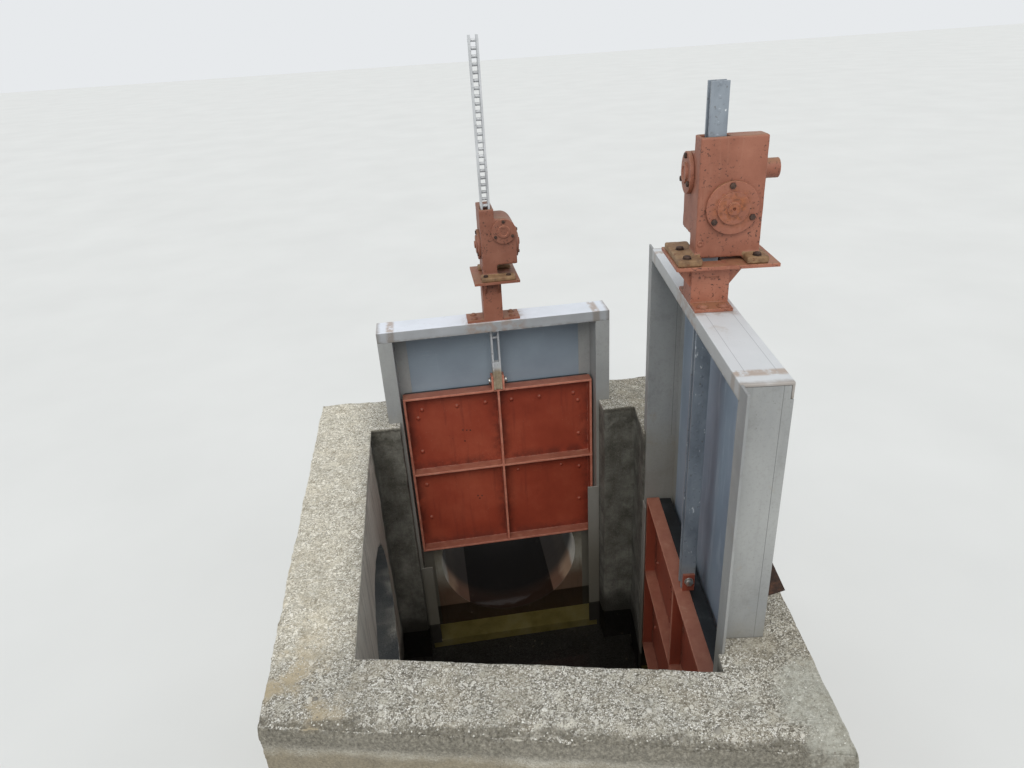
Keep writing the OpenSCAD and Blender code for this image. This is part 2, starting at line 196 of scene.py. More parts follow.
class Finish:
    """Builds one procedural material. Its space is the frame's own metres, or a gate's."""

    def __init__(self, name, gate=None, **shader_values):
        self.material = bpy.data.materials.new(name)
        self.material.use_nodes = True
        self.nodes = self.material.node_tree.nodes
        self.links = self.material.node_tree.links
        self.shader = self.nodes["Principled BSDF"]
        for socket, value in shader_values.items():
            self.shader.inputs[socket.replace("_", " ")].default_value = value
        self.space = self.nodes.new("ShaderNodeTexCoord").outputs["Object"]
        if gate is not None:
            self.space = self.placed(gate.inverse)
        self.colour = None
        self.normal = None

    def feed(self, socket, value):
        if isinstance(value, bpy.types.NodeSocket):
            self.links.new(value, socket)
        else:
            socket.default_value = value

    def node(self, kind, inputs, **properties):
        made = self.nodes.new("ShaderNode" + kind)
        for key, value in properties.items():
            setattr(made, key, value)
        for key, value in inputs.items():
            self.feed(made.inputs[key], value)
        return made

    def placed(self, matrix):
        """The frame's space seen through a matrix."""
        place, turn, _ = matrix.decompose()
        values = {"Vector": self.space, "Location": place, "Rotation": turn.to_euler()}
        return self.node("Mapping", values).outputs[0]

    def stretched(self, x, y, z):
        return self.node("Mapping", {"Vector": self.space, "Scale": (x, y, z)}).outputs[0]

    def noise(self, scale, detail=4.0, rough=0.55, space=None, twist=0.0):
        values = {"Vector": space or self.space, "Scale": scale, "Detail": detail,
                  "Roughness": rough, "Distortion": twist}
        return self.node("TexNoise", values).outputs[0]

    def cells(self, scale, output="Distance", feature="F1"):
        values = {"Vector": self.space, "Scale": scale}
        return self.node("TexVoronoi", values, feature=feature).outputs[output]

    def axis(self, letter, vector=None):
        return self.node("SeparateXYZ", {"Vector": vector or self.space}).outputs[letter]

    def axes(self):
        return [self.axis(letter) for letter in "XYZ"]

    def facing(self, letter):
        """Part of the surface's direction along an axis of the frame."""
        return self.axis(letter, self.nodes.new("ShaderNodeNewGeometry").outputs["Normal"])

    def mask(self, value, start, end):
        """0 before start and 1 after end, with a smooth step between."""
        values = {"Value": value, "From Min": start, "From Max": end}
        return self.node("MapRange", values, interpolation_type="SMOOTHSTEP").outputs[0]

    def between(self, value, low, high):
        """A number from low to high as value goes from 0 to 1."""
        return self.node("MapRange", {"Value": value, "To Min": low, "To Max": high}).outputs[0]

    def maths(self, operation, a, b=0.0):
        return self.node("Math", {0: a, 1: b}, operation=operation).outputs[0]

    def hypot(self, a, b):
        """Length of the step with sides a and b."""
        return self.maths("SQRT", self.maths("ADD", self.both(a, a), self.both(b, b)))

    def patches(self, start, end, scale, *rest):
        """Mask of cloudy patches: noise from start to end."""
        return self.mask(self.noise(scale, *rest), start, end)

    def dots(self, scale, start, end):
        """Mask of round dots, from their rims at start to their middles at end."""
        return self.mask(self.cells(scale), start, end)

    def wavy(self, value, reach, *noise):
        """The value moved by noise."""
        return self.maths("ADD", value, self.maths("MULTIPLY", self.noise(*noise), reach))

    def both(self, *masks):
        result = masks[0]
        for other in masks[1:]:
            result = self.maths("MULTIPLY", result, other)
        return result

    def either(self, a, b):
        return self.maths("MAXIMUM", a, b)

    def line(self, value, middle, half):
        """1 on a thin line where value is near middle."""
        away = self.maths("ABSOLUTE", self.maths("SUBTRACT", value, middle))
        return self.mask(away, half, half * 0.4)

    def mix(self, amount, a, b, blend="MIX"):
        made = self.nodes.new("ShaderNodeMix")
        made.data_type = "RGBA"
        made.blend_type = blend
        self.feed(made.inputs[0], amount)
        self.feed(made.inputs[6], a)
        self.feed(made.inputs[7], b)
        return made.outputs[2]

    def shades(self, value, *stops):
        """Colour from a value, with stops of (place, red, green, blue)."""
        made = self.nodes.new("ShaderNodeValToRGB")
        elements = made.color_ramp.elements
        while len(elements) < len(stops):
            elements.new(0.5)
        for element, (place, *tone) in zip(elements, stops):
            element.position = place
            element.color = rgb(*tone)
        self.links.new(value, made.inputs[0])
        return made.outputs[0]

    def bump(self, height, distance, strength=1.0):
        values = {"Height": height, "Distance": distance, "Strength": strength}
        if self.normal is not None:
            values["Normal"] = self.normal
        self.normal = self.node("Bump", values).outputs[0]

    def paint(self, tone, *masks):
        """Puts a screen colour or a shaded colour over the finish where the masks let it."""
        over = tone if isinstance(tone, bpy.types.NodeSocket) else rgb(*tone)
        self.colour = self.mix(self.both(*masks), self.colour, over)

    def done(self, rough=None):
        self.links.new(self.colour, self.shader.inputs["Base Color"])
        if rough is not None:
            self.links.new(rough, self.shader.inputs["Roughness"])
        if self.normal is not None:
            self.links.new(self.normal, self.shader.inputs["Normal"])
        return self.material

# Materials


STONE_CELLS = 250


def concrete_finish():
    """Weathered concrete: washed stones on top, mossy and damp inside, earth stained outside."""
    m = Finish("weathered_concrete")
    x, y, z = m.axes()
    up = m.facing("Z")
    top = m.mask(up, 0.35, 0.85)
    inside = inside_mask(m, x, y)
    outside = m.maths("SUBTRACT", 1.0, inside)
    washed_top(m, x, y, top)
    # the rounded front edge is darker: partly damp algae, partly painted shade where it turns down
    front = m.mask(m.facing("Y"), -0.14, -0.50)
    edge = m.both(front, m.mask(z, 1.255, 1.30))
    slope = m.shades(m.noise(130, 4, 0.7), (0.35, 70, 66, 57), (0.55, 116, 111, 99), (0.75, 160, 155, 142))
    m.paint(slope, edge, 0.85)
    # light mortar on the right front corner
    away_x = m.maths("SUBTRACT", x, 0.50)
    away_y = m.maths("MULTIPLY", m.maths("SUBTRACT", y, -0.80), 0.75)
    ragged = m.wavy(m.hypot(away_x, away_y), 0.12, 24, 5, 0.7)
    patch = m.both(m.mask(ragged, 0.17, 0.13), m.mask(z, 1.22, 1.27))
    mortar = m.shades(m.noise(80, 4, 0.7), (0.35, 150, 148, 136), (0.6, 188, 187, 176),
                      (0.8, 206, 205, 195))
    m.paint(mortar, patch, 0.70)
    # soil line under the rim, on all outer faces
    wavy = m.wavy(z, 0.07, 9, 4, 0.6)
    soil = m.both(outside, m.mask(wavy, 1.325, 1.285))
    earth = m.shades(m.noise(14, 6, 0.65), (0.35, 100, 90, 72), (0.55, 132, 121, 99), (0.75, 152, 142, 120))
    grain = m.shades(m.noise(160, 3, 0.7), (0.35, 96, 88, 72), (0.6, 146, 136, 114), (0.8, 170, 162, 144))
    earth = m.mix(0.45, earth, grain)
    m.paint(earth, soil, 0.86)
    # boards of the old mould leave thin lines on the buried faces
    board = m.line(m.maths("FRACT", m.maths("MULTIPLY", z, 1 / 0.21)), 0.5, 0.02)
    board = m.both(board, outside, m.mask(z, 1.24, 1.2), m.mask(up, 0.4, 0.2))
    m.paint((92, 80, 62), board, 0.5)
    walls = m.both(inside, m.mask(up, 0.6, 0.25))
    m.paint(inner_walls(m, x, y, z), walls, m.between(m.mask(z, RIM_Z, RIM_Z - 0.05), 0.35, 0.97))
    # wet band over the water, slime under it
    tide = m.wavy(z, 0.12, 12, 4, 0.6)
    wet = m.both(inside, m.mask(tide, WATER_Z + 0.20, WATER_Z + 0.09))
    m.paint((34, 31, 25), wet, 0.82)
    # painted shade: the round inlet hole is painted dark all through the wall, where no light reaches
    # inside it
    hole_shade = m.both(round_hole(m, y, z), m.mask(x, -0.515, -0.523))
    m.paint((44, 48, 52), hole_shade, 0.95)
    rough = m.between(wet, 0.93, 0.55)
    m.bump(m.cells(STONE_CELLS, "Distance", "SMOOTH_F1"), 0.003, 0.7)
    m.bump(m.noise(70, 6, 0.7), 0.006, 0.6)
    m.bump(m.noise(380, 3, 0.7), 0.0015, 0.8)
    return m.done(rough)


def washed_top(m, x, y, top):
    """Fine pale and dark stones in grey paste, with brown dust at the left."""
    drift = m.noise(3.2, 5, 0.6)
    paste = m.shades(drift, (0.30, 152, 147, 135), (0.5, 190, 185, 171), (0.70, 216, 211, 198))
    tone = m.axis("X", m.cells(STONE_CELLS, "Color"))
    stones = m.shades(tone, (0.0, 102, 98, 88), (0.22, 160, 155, 142),
                      (0.55, 202, 197, 185), (0.80, 228, 225, 216), (1.0, 240, 237, 230))
    gaps = m.mask(m.cells(STONE_CELLS, "Distance", "DISTANCE_TO_EDGE"), 0.0, 0.13)
    washed = m.mix(gaps, rgb(104, 98, 87), stones)
    shown = m.both(m.patches(0.26, 0.52, 30, 4, 0.6), m.between(top, 0.35, 1.0))
    m.colour = m.mix(shown, paste, washed)
    pits = m.patches(0.47, 0.37, 280, 3, 0.6)
    m.paint((84, 78, 68), pits, m.between(top, 0.45, 0.85))
    big_cells = m.cells(85, "Distance", "DISTANCE_TO_EDGE")
    big_tone = m.axis("Y", m.cells(85, "Color"))
    big = m.both(m.mask(big_tone, 0.78, 0.82), m.mask(big_cells, 0.10, 0.2), top)
    m.paint((216, 212, 202), big, m.patches(0.42, 0.5, 60), 0.85)
    grey = m.patches(0.50, 0.68, 5, 5, 0.65)
    m.paint((130, 127, 117), grey, top, 0.45)
    dust = m.both(m.patches(0.46, 0.64, 9, 5, 0.65), top)
    corner = m.mask(m.maths("ADD", x, m.both(y, 0.4)), -0.66, -0.90)
    m.paint((174, 160, 134), m.either(corner, 0.16), dust)
    pale = m.both(m.mask(x, -0.46, -0.62), m.mask(y, -0.55, -0.35))
    m.colour = m.mix(pale, m.colour, (0.20, 0.18, 0.14, 1), "ADD")
    blotches = m.both(m.patches(0.53, 0.62, 26, 6, 0.7), m.between(pale, 0.15, 0.55))
    m.colour = m.mix(m.both(blotches, top), m.colour, (0.60, 0.58, 0.54, 1), "MULTIPLY")
    # the top is made darker toward the right
    dull = m.mask(x, 0.30, 0.52)
    m.colour = m.mix(dull, m.colour, (0.82, 0.80, 0.76, 1), "MULTIPLY")


def inner_walls(m, x, y, z):
    """Inner faces: dark, rough and mossy at the back, smoother and greyer at the left."""
    moss = m.shades(m.noise(13, 6, 0.7), (0.30, 52, 50, 42), (0.48, 88, 86, 78), (0.62, 112, 110, 102),
                    (0.8, 142, 139, 129))
    speck = m.patches(0.52, 0.70, 160, 4, 0.7)
    moss = m.mix(m.both(speck, 0.5), moss, rgb(132, 128, 116))
    # the smooth left wall is painted pale: its own grey, lifted further as painted light against the shade
    # in the chamber
    smooth = m.shades(m.noise(5, 5, 0.6, m.stretched(1, 1, 0.25)), (0.3, 196, 191, 178),
                      (0.5, 218, 213, 200), (0.75, 232, 228, 216))
    drips = m.patches(0.50, 0.66, 10, 4, 0.6, m.stretched(8, 8, 0.35))
    smooth = m.mix(m.both(drips, 0.3), smooth, rgb(132, 126, 112))
    low = m.mask(m.wavy(z, 0.2, 8, 5, 0.7), 1.32, 0.95)
    smooth = m.mix(m.both(low, 0.40), smooth, rgb(134, 128, 113))
    left = m.both(m.mask(x, -0.46, -0.50), m.mask(y, 0.60, 0.56))
    walls = m.mix(left, moss, smooth)
    streaks = m.patches(0.50, 0.64, 7, 4, 0.6, m.stretched(7, 7, 0.5))
    return m.mix(m.both(streaks, 0.28), walls, rgb(66, 62, 52))


def round_hole(m, y, z):
    """1 within the inlet's radius."""
    across = m.maths("SUBTRACT", y, INLET_Y)
    above = m.maths("SUBTRACT", z, INLET_Z)
    return m.mask(m.hypot(across, above), INLET_R + 0.012, INLET_R + 0.002)


def inside_mask(m, x, y):
    """1 within the chamber's plan, with a margin that takes in the walls' inner faces."""
    result = None
    for start, _, out in plan_sides(INNER_CORNERS):
        offset = m.maths("ADD", m.maths("MULTIPLY", x, out.x), m.maths("MULTIPLY", y, out.y))
        near = m.mask(offset, start.dot(out) + 0.10, start.dot(out) + 0.09)
        result = near if result is None else m.both(result, near)
    return result


def stain_below(m, z, low, high):
    """Uneven stain that fades upward from low to high."""
    wavy = m.wavy(z, (high - low) * 1.4, 9, 5, 0.65)
    return m.mask(wavy, high + (high - low) * 0.6, low + (high - low) * 0.6)


def stainless_finish(gate):
    """Posts: dull rolled steel, cloudy and a little streaked, with tan spots and a brown foot."""
    m = Finish(gate.node("post_steel"), gate, Metallic=0.12)
    z = m.axis("Z")
    clouds = m.noise(5, 5, 0.6, m.stretched(1, 1, 0.45))
    m.colour = m.shades(clouds, (0.3, 134, 136, 137), (0.5, 151, 152, 151), (0.72, 164, 165, 163))
    blotch = m.patches(0.52, 0.68, 11, 6, 0.7)
    m.paint((120, 119, 116), blotch, 0.30)
    streaks = m.noise(9, 4, 0.6, m.stretched(8, 8, 0.40))
    m.paint((118, 118, 116), m.mask(streaks, 0.54, 0.74), 0.22)
    grain = m.noise(150, 4, 0.7)
    m.paint((124, 122, 118), m.mask(grain, 0.50, 0.68), 0.25)
    tan = m.both(m.patches(0.60, 0.74, 16, 5, 0.7), 0.40)
    m.paint((150, 138, 118), tan)
    spots = m.dots(85, 0.10, 0.05)
    spots = m.both(spots, m.patches(0.50, 0.58, 12, 3))
    m.paint((92, 84, 72), spots, 0.7)
    seam = m.both(m.line(m.axis("Y"), 0.088, 0.0009), m.mask(z, -0.02, 0.0))
    m.paint((92, 92, 92), seam, 0.75)
    foot = stain_below(m, z, -0.05, 0.09)
    m.paint((132, 124, 106), foot, 0.42)
    low = m.mask(z, -0.45, -0.85)
    m.paint((88, 82, 68), low, 0.72)
    m.bump(streaks, 0.0005, 0.4)
    m.bump(m.noise(130, 3), 0.0004, 0.5)
    return m.done(m.between(clouds, 0.62, 0.46))


def beam_finish(gate):
    """Top beams: pale coated steel, tan bands near the ends and dusty lips."""
    m = Finish(gate.node("beam_steel"), gate, Metallic=0.05)
    x, y, z = m.axes()
    up = m.facing("Z")
    clouds = m.noise(4, 5, 0.6)
    # painted light: the two beams are lighter and darker copies of one steel, the rear one lighter and
    # bluer for its sky-lit top
    if gate is REAR:
        tones = (212, 216, 223), (223, 227, 235), (231, 235, 242)
    else:
        tones = (192, 194, 196), (203, 205, 207), (212, 214, 217)
    m.colour = m.shades(clouds, *[(at, *tone) for at, tone in zip((0.3, 0.55, 0.8), tones)])
    across = m.maths("ABSOLUTE", x)
    half = gate.beam_half
    band = m.line(across, half - 0.050, 0.019)
    ragged = m.patches(0.34, 0.52, 38, 5, 0.7)
    m.paint((158, 134, 114), band, ragged, 0.72)
    ends = m.mask(m.wavy(across, 0.02, 30), half - 0.008, half + 0.010)
    m.paint((132, 118, 104), ends, 0.7)
    lip = m.both(m.mask(z, gate.rise - 0.026, gate.rise - 0.040), m.mask(up, 0.8, 0.3))
    m.paint((128, 120, 108), lip, m.patches(0.38, 0.6, 24, 5, 0.7), 0.8)
    # painted shade: the beam's front face is painted darker than its top, most on the rear beam
    front = m.both(m.mask(y, 0.0012, 0.0006), m.between(m.noise(7, 5, 0.6), 0.45, 0.85))
    m.paint((108, 108, 105) if gate is REAR else (150, 150, 147), front)
    blot = m.patches(0.62, 0.76, 13, 5, 0.7)
    m.paint((172, 162, 148), blot, 0.35)
    specks = m.both(m.dots(120, 0.12, 0.05), m.patches(0.5, 0.6, 10))
    m.paint((120, 110, 96), specks, 0.7)
    if gate is RIGHT:
        seams = m.either(m.line(y, 0.025, 0.0008), m.line(y, 0.090, 0.0008))
        seam = m.both(seams, m.mask(x, 0.09, 0.11), m.mask(x, 0.45, 0.42), m.mask(up, 0.7, 0.9))
        m.paint((128, 130, 136), seam, 0.65)
    # grime beside the pedestal's foot
    foot = m.mask(across, 0.125, 0.095)
    m.paint((150, 128, 112), foot, m.patches(0.4, 0.6, 40, 4), 0.55)
    m.bump(m.noise(22, 4), 0.0012, 0.35)
    m.bump(m.noise(190, 3), 0.0004, 0.5)
    return m.done(m.between(clouds, 0.58, 0.42))


def plate_finish(gate):
    """Breast plates: blue grey sheet with faint scratches and small pale spots."""
    m = Finish(gate.node("plate_steel"), gate, Metallic=0.12)
    z = m.axis("Z")
    clouds = m.noise(3.2, 4, 0.55)
    # the right plate's tones are a little lighter: painted light against the shade near its rack
    if gate is REAR:
        tones = (130, 141, 152), (142, 154, 165), (154, 165, 175)
    else:
        tones = (128, 142, 157), (142, 156, 171), (156, 169, 182)
    m.colour = m.shades(clouds, *[(at, *tone) for at, tone in zip((0.3, 0.52, 0.75), tones)])
    smear = m.noise(3.5, 4, 0.55, m.stretched(1.0, 1.0, 1.8), 1.0)
    m.paint((160, 170, 178), m.mask(smear, 0.54, 0.66), 0.18)
    runs = m.patches(0.58, 0.76, 8, 4, 0.6, m.stretched(10, 10, 0.4))
    m.paint((164, 171, 176), runs, 0.16)
    if gate is RIGHT:
        # pale streaks on the right plate: partly smears, partly painted reflection
        smears_and_reflection = m.patches(0.52, 0.70, 5, 5, 0.65, m.stretched(6, 6, 0.7))
        m.paint((186, 196, 205), smears_and_reflection, 0.45)
    m.paint((170, 178, 184), scratch_mask(m), 0.25)
    spots = m.both(m.dots(60, 0.06, 0.03), m.patches(0.54, 0.6, 7))
    m.paint((188, 190, 186), spots, 0.5)
    dots = m.both(m.dots(48, 0.050, 0.03), m.patches(0.52, 0.6, 9))
    m.paint((74, 76, 78), dots, 0.7)
    low = m.mask(z, -0.25, -0.42)
    m.paint((104, 98, 82), low, 0.5)
    m.bump(m.noise(2.2, 3), 0.004, 0.10)
    return m.done(m.between(clouds, 0.50, 0.38))


def scratch_mask(m):
    """A few long thin scratches at two slants."""
    result = None
    for turn, scale in ((0.5, 1.0), (-0.9, 1.3)):
        values = {"Vector": m.space, "Rotation": (0.0, turn, 0.0), "Scale": (0.6 * scale, 1.0, 26 * scale)}
        streak = m.noise(5, 2, 0.4, m.node("Mapping", values).outputs[0])
        thin = m.line(streak, 0.60, 0.006)
        result = thin if result is None else m.either(result, thin)
    return m.both(result, m.patches(0.46, 0.56, 9))


def low_plate_finish(gate):
    """Culvert plates: the same sheet under the waterline, stained brown and grey."""
    m = Finish(gate.node("low_plate_steel"), gate, Metallic=0.2)
    z = m.axis("Z")
    m.colour = m.shades(m.noise(9, 6, 0.65), (0.3, 120, 114, 100), (0.5, 148, 143, 130),
                        (0.75, 166, 162, 150))
    tide = m.wavy(z, 0.10, 7, 4)
    m.paint((92, 62, 42), m.mask(tide, -0.80, -0.92), 0.85)
    runs = m.patches(0.52, 0.70, 10, 4, 0.6, m.stretched(9, 9, 0.5))
    m.paint((84, 76, 60), runs, 0.4)
    m.bump(m.noise(60, 4), 0.001, 0.5)
    return m.done(m.between(runs, 0.55, 0.75))


def leaf_finish(gate, name="leaf_paint", worn=0.0):
    """Leaves: brick red paint, dusty where it faces up, grimy beside the ribs, with painted shade there
    too.
    """
    m = Finish(gate.node(name), gate)
    x, y, z = m.axes()
    up = m.facing("Z")
    clouds = m.noise(4.5, 5, 0.6)
    m.colour = m.shades(clouds, (0.28, 132, 52, 34), (0.5, 149, 62, 41), (0.74, 165, 78, 54))
    runs = m.noise(7, 5, 0.6, m.stretched(8, 8, 0.6))
    m.paint((108, 44, 33), m.mask(runs, 0.52, 0.72), 0.35)
    # grime and painted shade in the corners where the ribs meet the skin
    skin = m.mask(y, gate.skin_y - 0.006, gate.skin_y - 0.002)
    grime_and_shade = m.both(skin, rib_grime_and_shade(m, gate, x, z), m.patches(0.30, 0.62, 20, 5, 0.7))
    m.paint((74, 34, 26), grime_and_shade, 0.62)
    front = m.mask(y, gate.leaf_y + 0.004, gate.leaf_y + 0.0015)
    faded = m.shades(m.noise(30, 5, 0.65), (0.35, 180, 108, 88), (0.6, 202, 134, 112), (0.8, 216, 158, 138))
    m.paint(faded, front, 0.88)
    dusty = m.shades(m.noise(26, 5, 0.65), (0.35, 142, 88, 70), (0.6, 158, 104, 84), (0.8, 176, 134, 110))
    m.paint(dusty, m.mask(up, 0.4, 0.8), 0.85)
    specks = m.both(m.dots(95, 0.11, 0.05), m.patches(0.50, 0.58, 8, 3))
    m.paint((176, 138, 116), specks, 0.6)
    chips = m.both(m.dots(60, 0.09, 0.06), m.patches(0.60, 0.66, 11, 3))
    m.paint((52, 26, 18), chips, 0.9)
    # painted light: the right gate's leaf is lifted paler overall against its shade, with some dust
    if gate is RIGHT:
        m.paint((176, 122, 100), 0.14)
    damp = stain_below(m, z, gate.leaf_low - 0.02, gate.leaf_low + 0.10)
    m.paint((92, 42, 30), damp, 0.25)
    if worn:
        scuff = m.patches(0.40, 0.62, 70, 5, 0.7)
        m.paint((186, 128, 108), scuff, worn)
    m.bump(m.noise(85, 4, 0.6), 0.0009, 0.5)
    m.bump(m.noise(6, 3), 0.004, 0.2)
    return m.done(m.between(clouds, 0.44, 0.62))


def rib_grime_and_shade(m, gate, x, z):
    """1 on the skin close to the leaf's ribs."""
    side = gate.side
    across = m.maths("ABSOLUTE", x)
    reach = 0.055
    result = m.mask(across, reach, 0.004)
    result = m.either(result, m.mask(across, side - reach, side - 0.010))
    for rib in (gate.leaf_low, gate.rib_z, gate.leaf_top):
        gap = m.maths("ABSOLUTE", m.maths("SUBTRACT", z, rib))
        result = m.either(result, m.mask(gap, reach, 0.008))
    return result


def iron_finish(name, shade=1.0, worn=0.0, rusty_gate=None):
    """Hoists: red oxide over cast iron, with dark rust specks and ochre dust. The covers of a
    rusty gate are orange round the middle."""
    m = Finish(name)

    # shade scales every colour of the paint down: painted shade
    def shaded(*tone):
        return [shade * c for c in tone]

    up = m.facing("Z")
    clouds = m.noise(11, 5, 0.6)
    m.colour = m.shades(clouds, (0.28, *shaded(146, 88, 66)), (0.5, *shaded(163, 101, 78)),
                        (0.74, *shaded(177, 115, 91)))
    brush = m.noise(10, 4, 0.6, m.stretched(10, 10, 1.0))
    m.paint(shaded(182, 128, 104), m.mask(brush, 0.54, 0.72), 0.30)
    patches = m.patches(0.46, 0.56, 16, 4, 0.6)
    specks = m.patches(0.57, 0.62, 150, 4, 0.65)
    m.paint((66, 38, 30), specks, patches, 0.95)
    fine = m.both(m.dots(230, 0.16, 0.09), m.patches(0.50, 0.58, 24))
    m.paint((84, 50, 38), fine, 0.75)
    ochre = m.both(m.mask(up, 0.35, 0.85), m.patches(0.32, 0.6, 22, 5, 0.7))
    m.paint(shaded(156, 116, 84), ochre, 0.68)
    if worn:
        scuff = m.patches(0.45, 0.60, 90, 5, 0.7)
        m.paint((112, 66, 52), scuff, worn)
    if rusty_gate is not None:
        middle = rusty_gate.hoist() @ Vector((0, *WHEEL))
        near = m.node("VectorMath", {0: m.space, 1: middle}, operation="DISTANCE").outputs["Value"]
        rust = m.mask(m.wavy(near, 0.03, 60, 4), 0.085, 0.065)
        orange = m.shades(m.noise(120, 5, 0.7), (0.35, 104, 58, 34), (0.6, 160, 92, 52))
        m.paint(orange, rust, m.patches(0.38, 0.56, 70, 4), 0.8)
    m.bump(m.noise(60, 4, 0.6), 0.0015, 0.45)
    m.bump(m.noise(320, 3, 0.7), 0.0006, 0.6)
    return m.done(m.between(clouds, 0.66, 0.50))


def dusty_iron_finish():
    """The hoists' feet: ochre dust and rust over the red oxide."""
    m = Finish("dusty_iron")
    m.colour = m.shades(m.noise(34, 5, 0.65), (0.30, 98, 72, 50), (0.5, 132, 102, 72), (0.75, 156, 128, 94))
    rust = m.patches(0.56, 0.68, 60, 5, 0.7)
    m.paint((98, 56, 38), rust, 0.6)
    m.bump(m.noise(110, 4, 0.7), 0.0015, 0.7)
    return m.done(m.between(rust, 0.70, 0.88))


def rusty_finish(name, dark, mid, light):
    """Bare rusting steel in three shades."""
    m = Finish(name, Metallic=0.2)
    m.colour = m.shades(m.noise(70, 6, 0.7), (0.3, *dark), (0.5, *mid), (0.72, *light))
    m.bump(m.noise(160, 5, 0.7), 0.0015, 0.8)
    return m.done(m.between(m.noise(40), 0.60, 0.85))


def bright_steel_finish():
    """Clevis bolts and nuts: plated steel with a little tarnish."""
    m = Finish("bright_steel", Metallic=0.85)
    m.colour = m.shades(m.noise(90, 5, 0.6), (0.3, 150, 146, 138), (0.55, 200, 198, 192),
                        (0.8, 222, 221, 216))
    m.bump(m.noise(260, 3), 0.0004, 0.6)
    return m.done(m.between(m.noise(60), 0.25, 0.45))


def rack_finish(gate, dark, mid, light):
    """Rack bars: rolled steel, scratched where the hoist's wheel runs."""
    m = Finish(gate.node("rack_metal"), gate, Metallic=0.15)
    z = m.axis("Z")
    clouds = m.noise(12, 5, 0.6, m.stretched(1, 1, 0.5))
    m.colour = m.shades(clouds, (0.3, *dark), (0.5, *mid), (0.75, *light))
    chips = m.noise(62, 5, 0.65, m.stretched(1.0, 1.0, 0.35))
    m.paint((216, 219, 222), m.mask(chips, 0.62, 0.66), m.patches(0.46, 0.54, 14))
    spots = m.both(m.patches(0.62, 0.70, 120, 4), 0.6)
    m.paint((92, 88, 84), spots)
    foot = m.mask(z, gate.leaf_top + 0.10, gate.leaf_top + 0.075)
    ochre = m.shades(m.noise(50, 5, 0.6), (0.35, 142, 118, 84), (0.65, 178, 158, 122))
    m.paint(ochre, foot, 0.82 if gate is REAR else 0.15)
    m.bump(m.noise(140, 3), 0.0005, 0.5)
    return m.done(m.between(clouds, 0.48, 0.32))


def rubber_finish():
    """Seal strips: worn black rubber with a dull bloom."""
    m = Finish("seal_rubber")
    m.colour = m.shades(m.noise(22, 5, 0.65), (0.35, 18, 19, 20), (0.6, 34, 36, 38), (0.85, 66, 68, 68))
    m.bump(m.noise(120, 3), 0.0006, 0.5)
    return m.done(m.between(m.noise(15), 0.30, 0.55))


def inner_side(m):
    """1 on a culvert pipe's inner face."""
    x = m.axis("X")
    z = m.maths("ADD", m.axis("Z"), CULVERT_DROP)
    return m.mask(m.hypot(x, z), CULVERT_R + 0.006, CULVERT_R + 0.003)


def pipe_finish(gate):
    """Culvert pipes: pale cast concrete above the old waterline, brown below it; the pale tone is partly
    painted light, and the inner face further in is painted shade.
    """
    m = Finish(gate.node("pipe_wall"), gate)
    z = m.axis("Z")
    # painted light: the pipe's tone is lifted pale against the shade at its mouth
    m.colour = m.shades(m.noise(10, 5, 0.6), (0.3, 186, 181, 170), (0.55, 212, 207, 197),
                        (0.8, 226, 222, 214))
    rings = m.noise(7, 3, 0.5, m.stretched(1, 12, 1))
    m.paint((140, 132, 118), m.mask(rings, 0.52, 0.7), 0.3)
    tide = m.wavy(z, 0.06, 8, 4)
    m.paint((150, 112, 80), m.mask(tide, -0.86, -0.90), 0.85)
    m.paint((92, 58, 40), m.mask(tide, -0.93, -0.97), 0.9)
    # painted shade: the pipe's inner face is painted near black further in, where no light reaches
    deep_shade = m.both(m.mask(m.axis("Y"), FRAME_D + 0.05, FRAME_D + 0.14), inner_side(m))
    m.paint((30, 25, 19), deep_shade, 0.93)
    m.bump(m.noise(70, 5, 0.65), 0.0015, 0.6)
    return m.done(m.between(rings, 0.80, 0.92))


def sill_finish(gate):
    """Sill beams: yellow brown slime on steel, under the water."""
    m = Finish(gate.node("sill_slime"), gate)
    m.colour = m.shades(m.noise(11, 6, 0.65), (0.3, 186, 166, 84), (0.5, 216, 196, 110),
                        (0.75, 232, 216, 146))
    m.bump(m.noise(60, 5), 0.002, 0.6)
    return m.done(m.between(m.noise(30), 0.50, 0.75))


def water_finish():
    """Still dark water with a faint skin of dust and a few ripples."""
    m = Finish("dark_water", Roughness=0.03, IOR=1.33, Alpha=0.62)
    film = m.both(m.patches(0.49, 0.56, 9, 6, 0.7), m.dots(38, 0.15, 0.08))
    m.colour = m.shades(m.noise(3, 4), (0.35, 7, 6, 6), (0.7, 15, 13, 12))
    m.paint((140, 132, 112), film, 0.8)
    m.bump(m.noise(5, 3, 0.5), 0.010, 0.05)
    m.bump(m.noise(28, 2, 0.5), 0.002, 0.05)
    in_pipe = m.mask(m.axis("Y"), REAR.matrix.translation.y + 0.08, REAR.matrix.translation.y + 0.10)
    m.links.new(m.between(in_pipe, 0.5, 0.05), m.shader.inputs["Specular IOR Level"])
    return m.done()


def pebble_finish():
    """Stones in the concrete, each with its own tone."""
    m = Finish("washed_stones")
    tone = m.nodes.new("ShaderNodeNewGeometry").outputs["Random Per Island"]
    m.colour = m.shades(tone, (0.0, 122, 118, 110), (0.35, 164, 159, 148), (0.7, 198, 195, 186),
                        (1.0, 226, 224, 216))
    dirt = m.patches(0.50, 0.66, 120, 4)
    m.paint((128, 120, 104), dirt, 0.45)
    m.bump(m.noise(300, 3), 0.0008, 0.6)
    return m.done(m.between(dirt, 0.78, 0.92))


# Mesh helpers


WELD_RIPPLE = 0.0022
CAST_VOXEL = 0.0030
CAST_PASSES = 5
CAST_WAVES = 38
CAST_SHIFT = Vector((5, 0, 0))
CAST_RELIEF = 0.0005


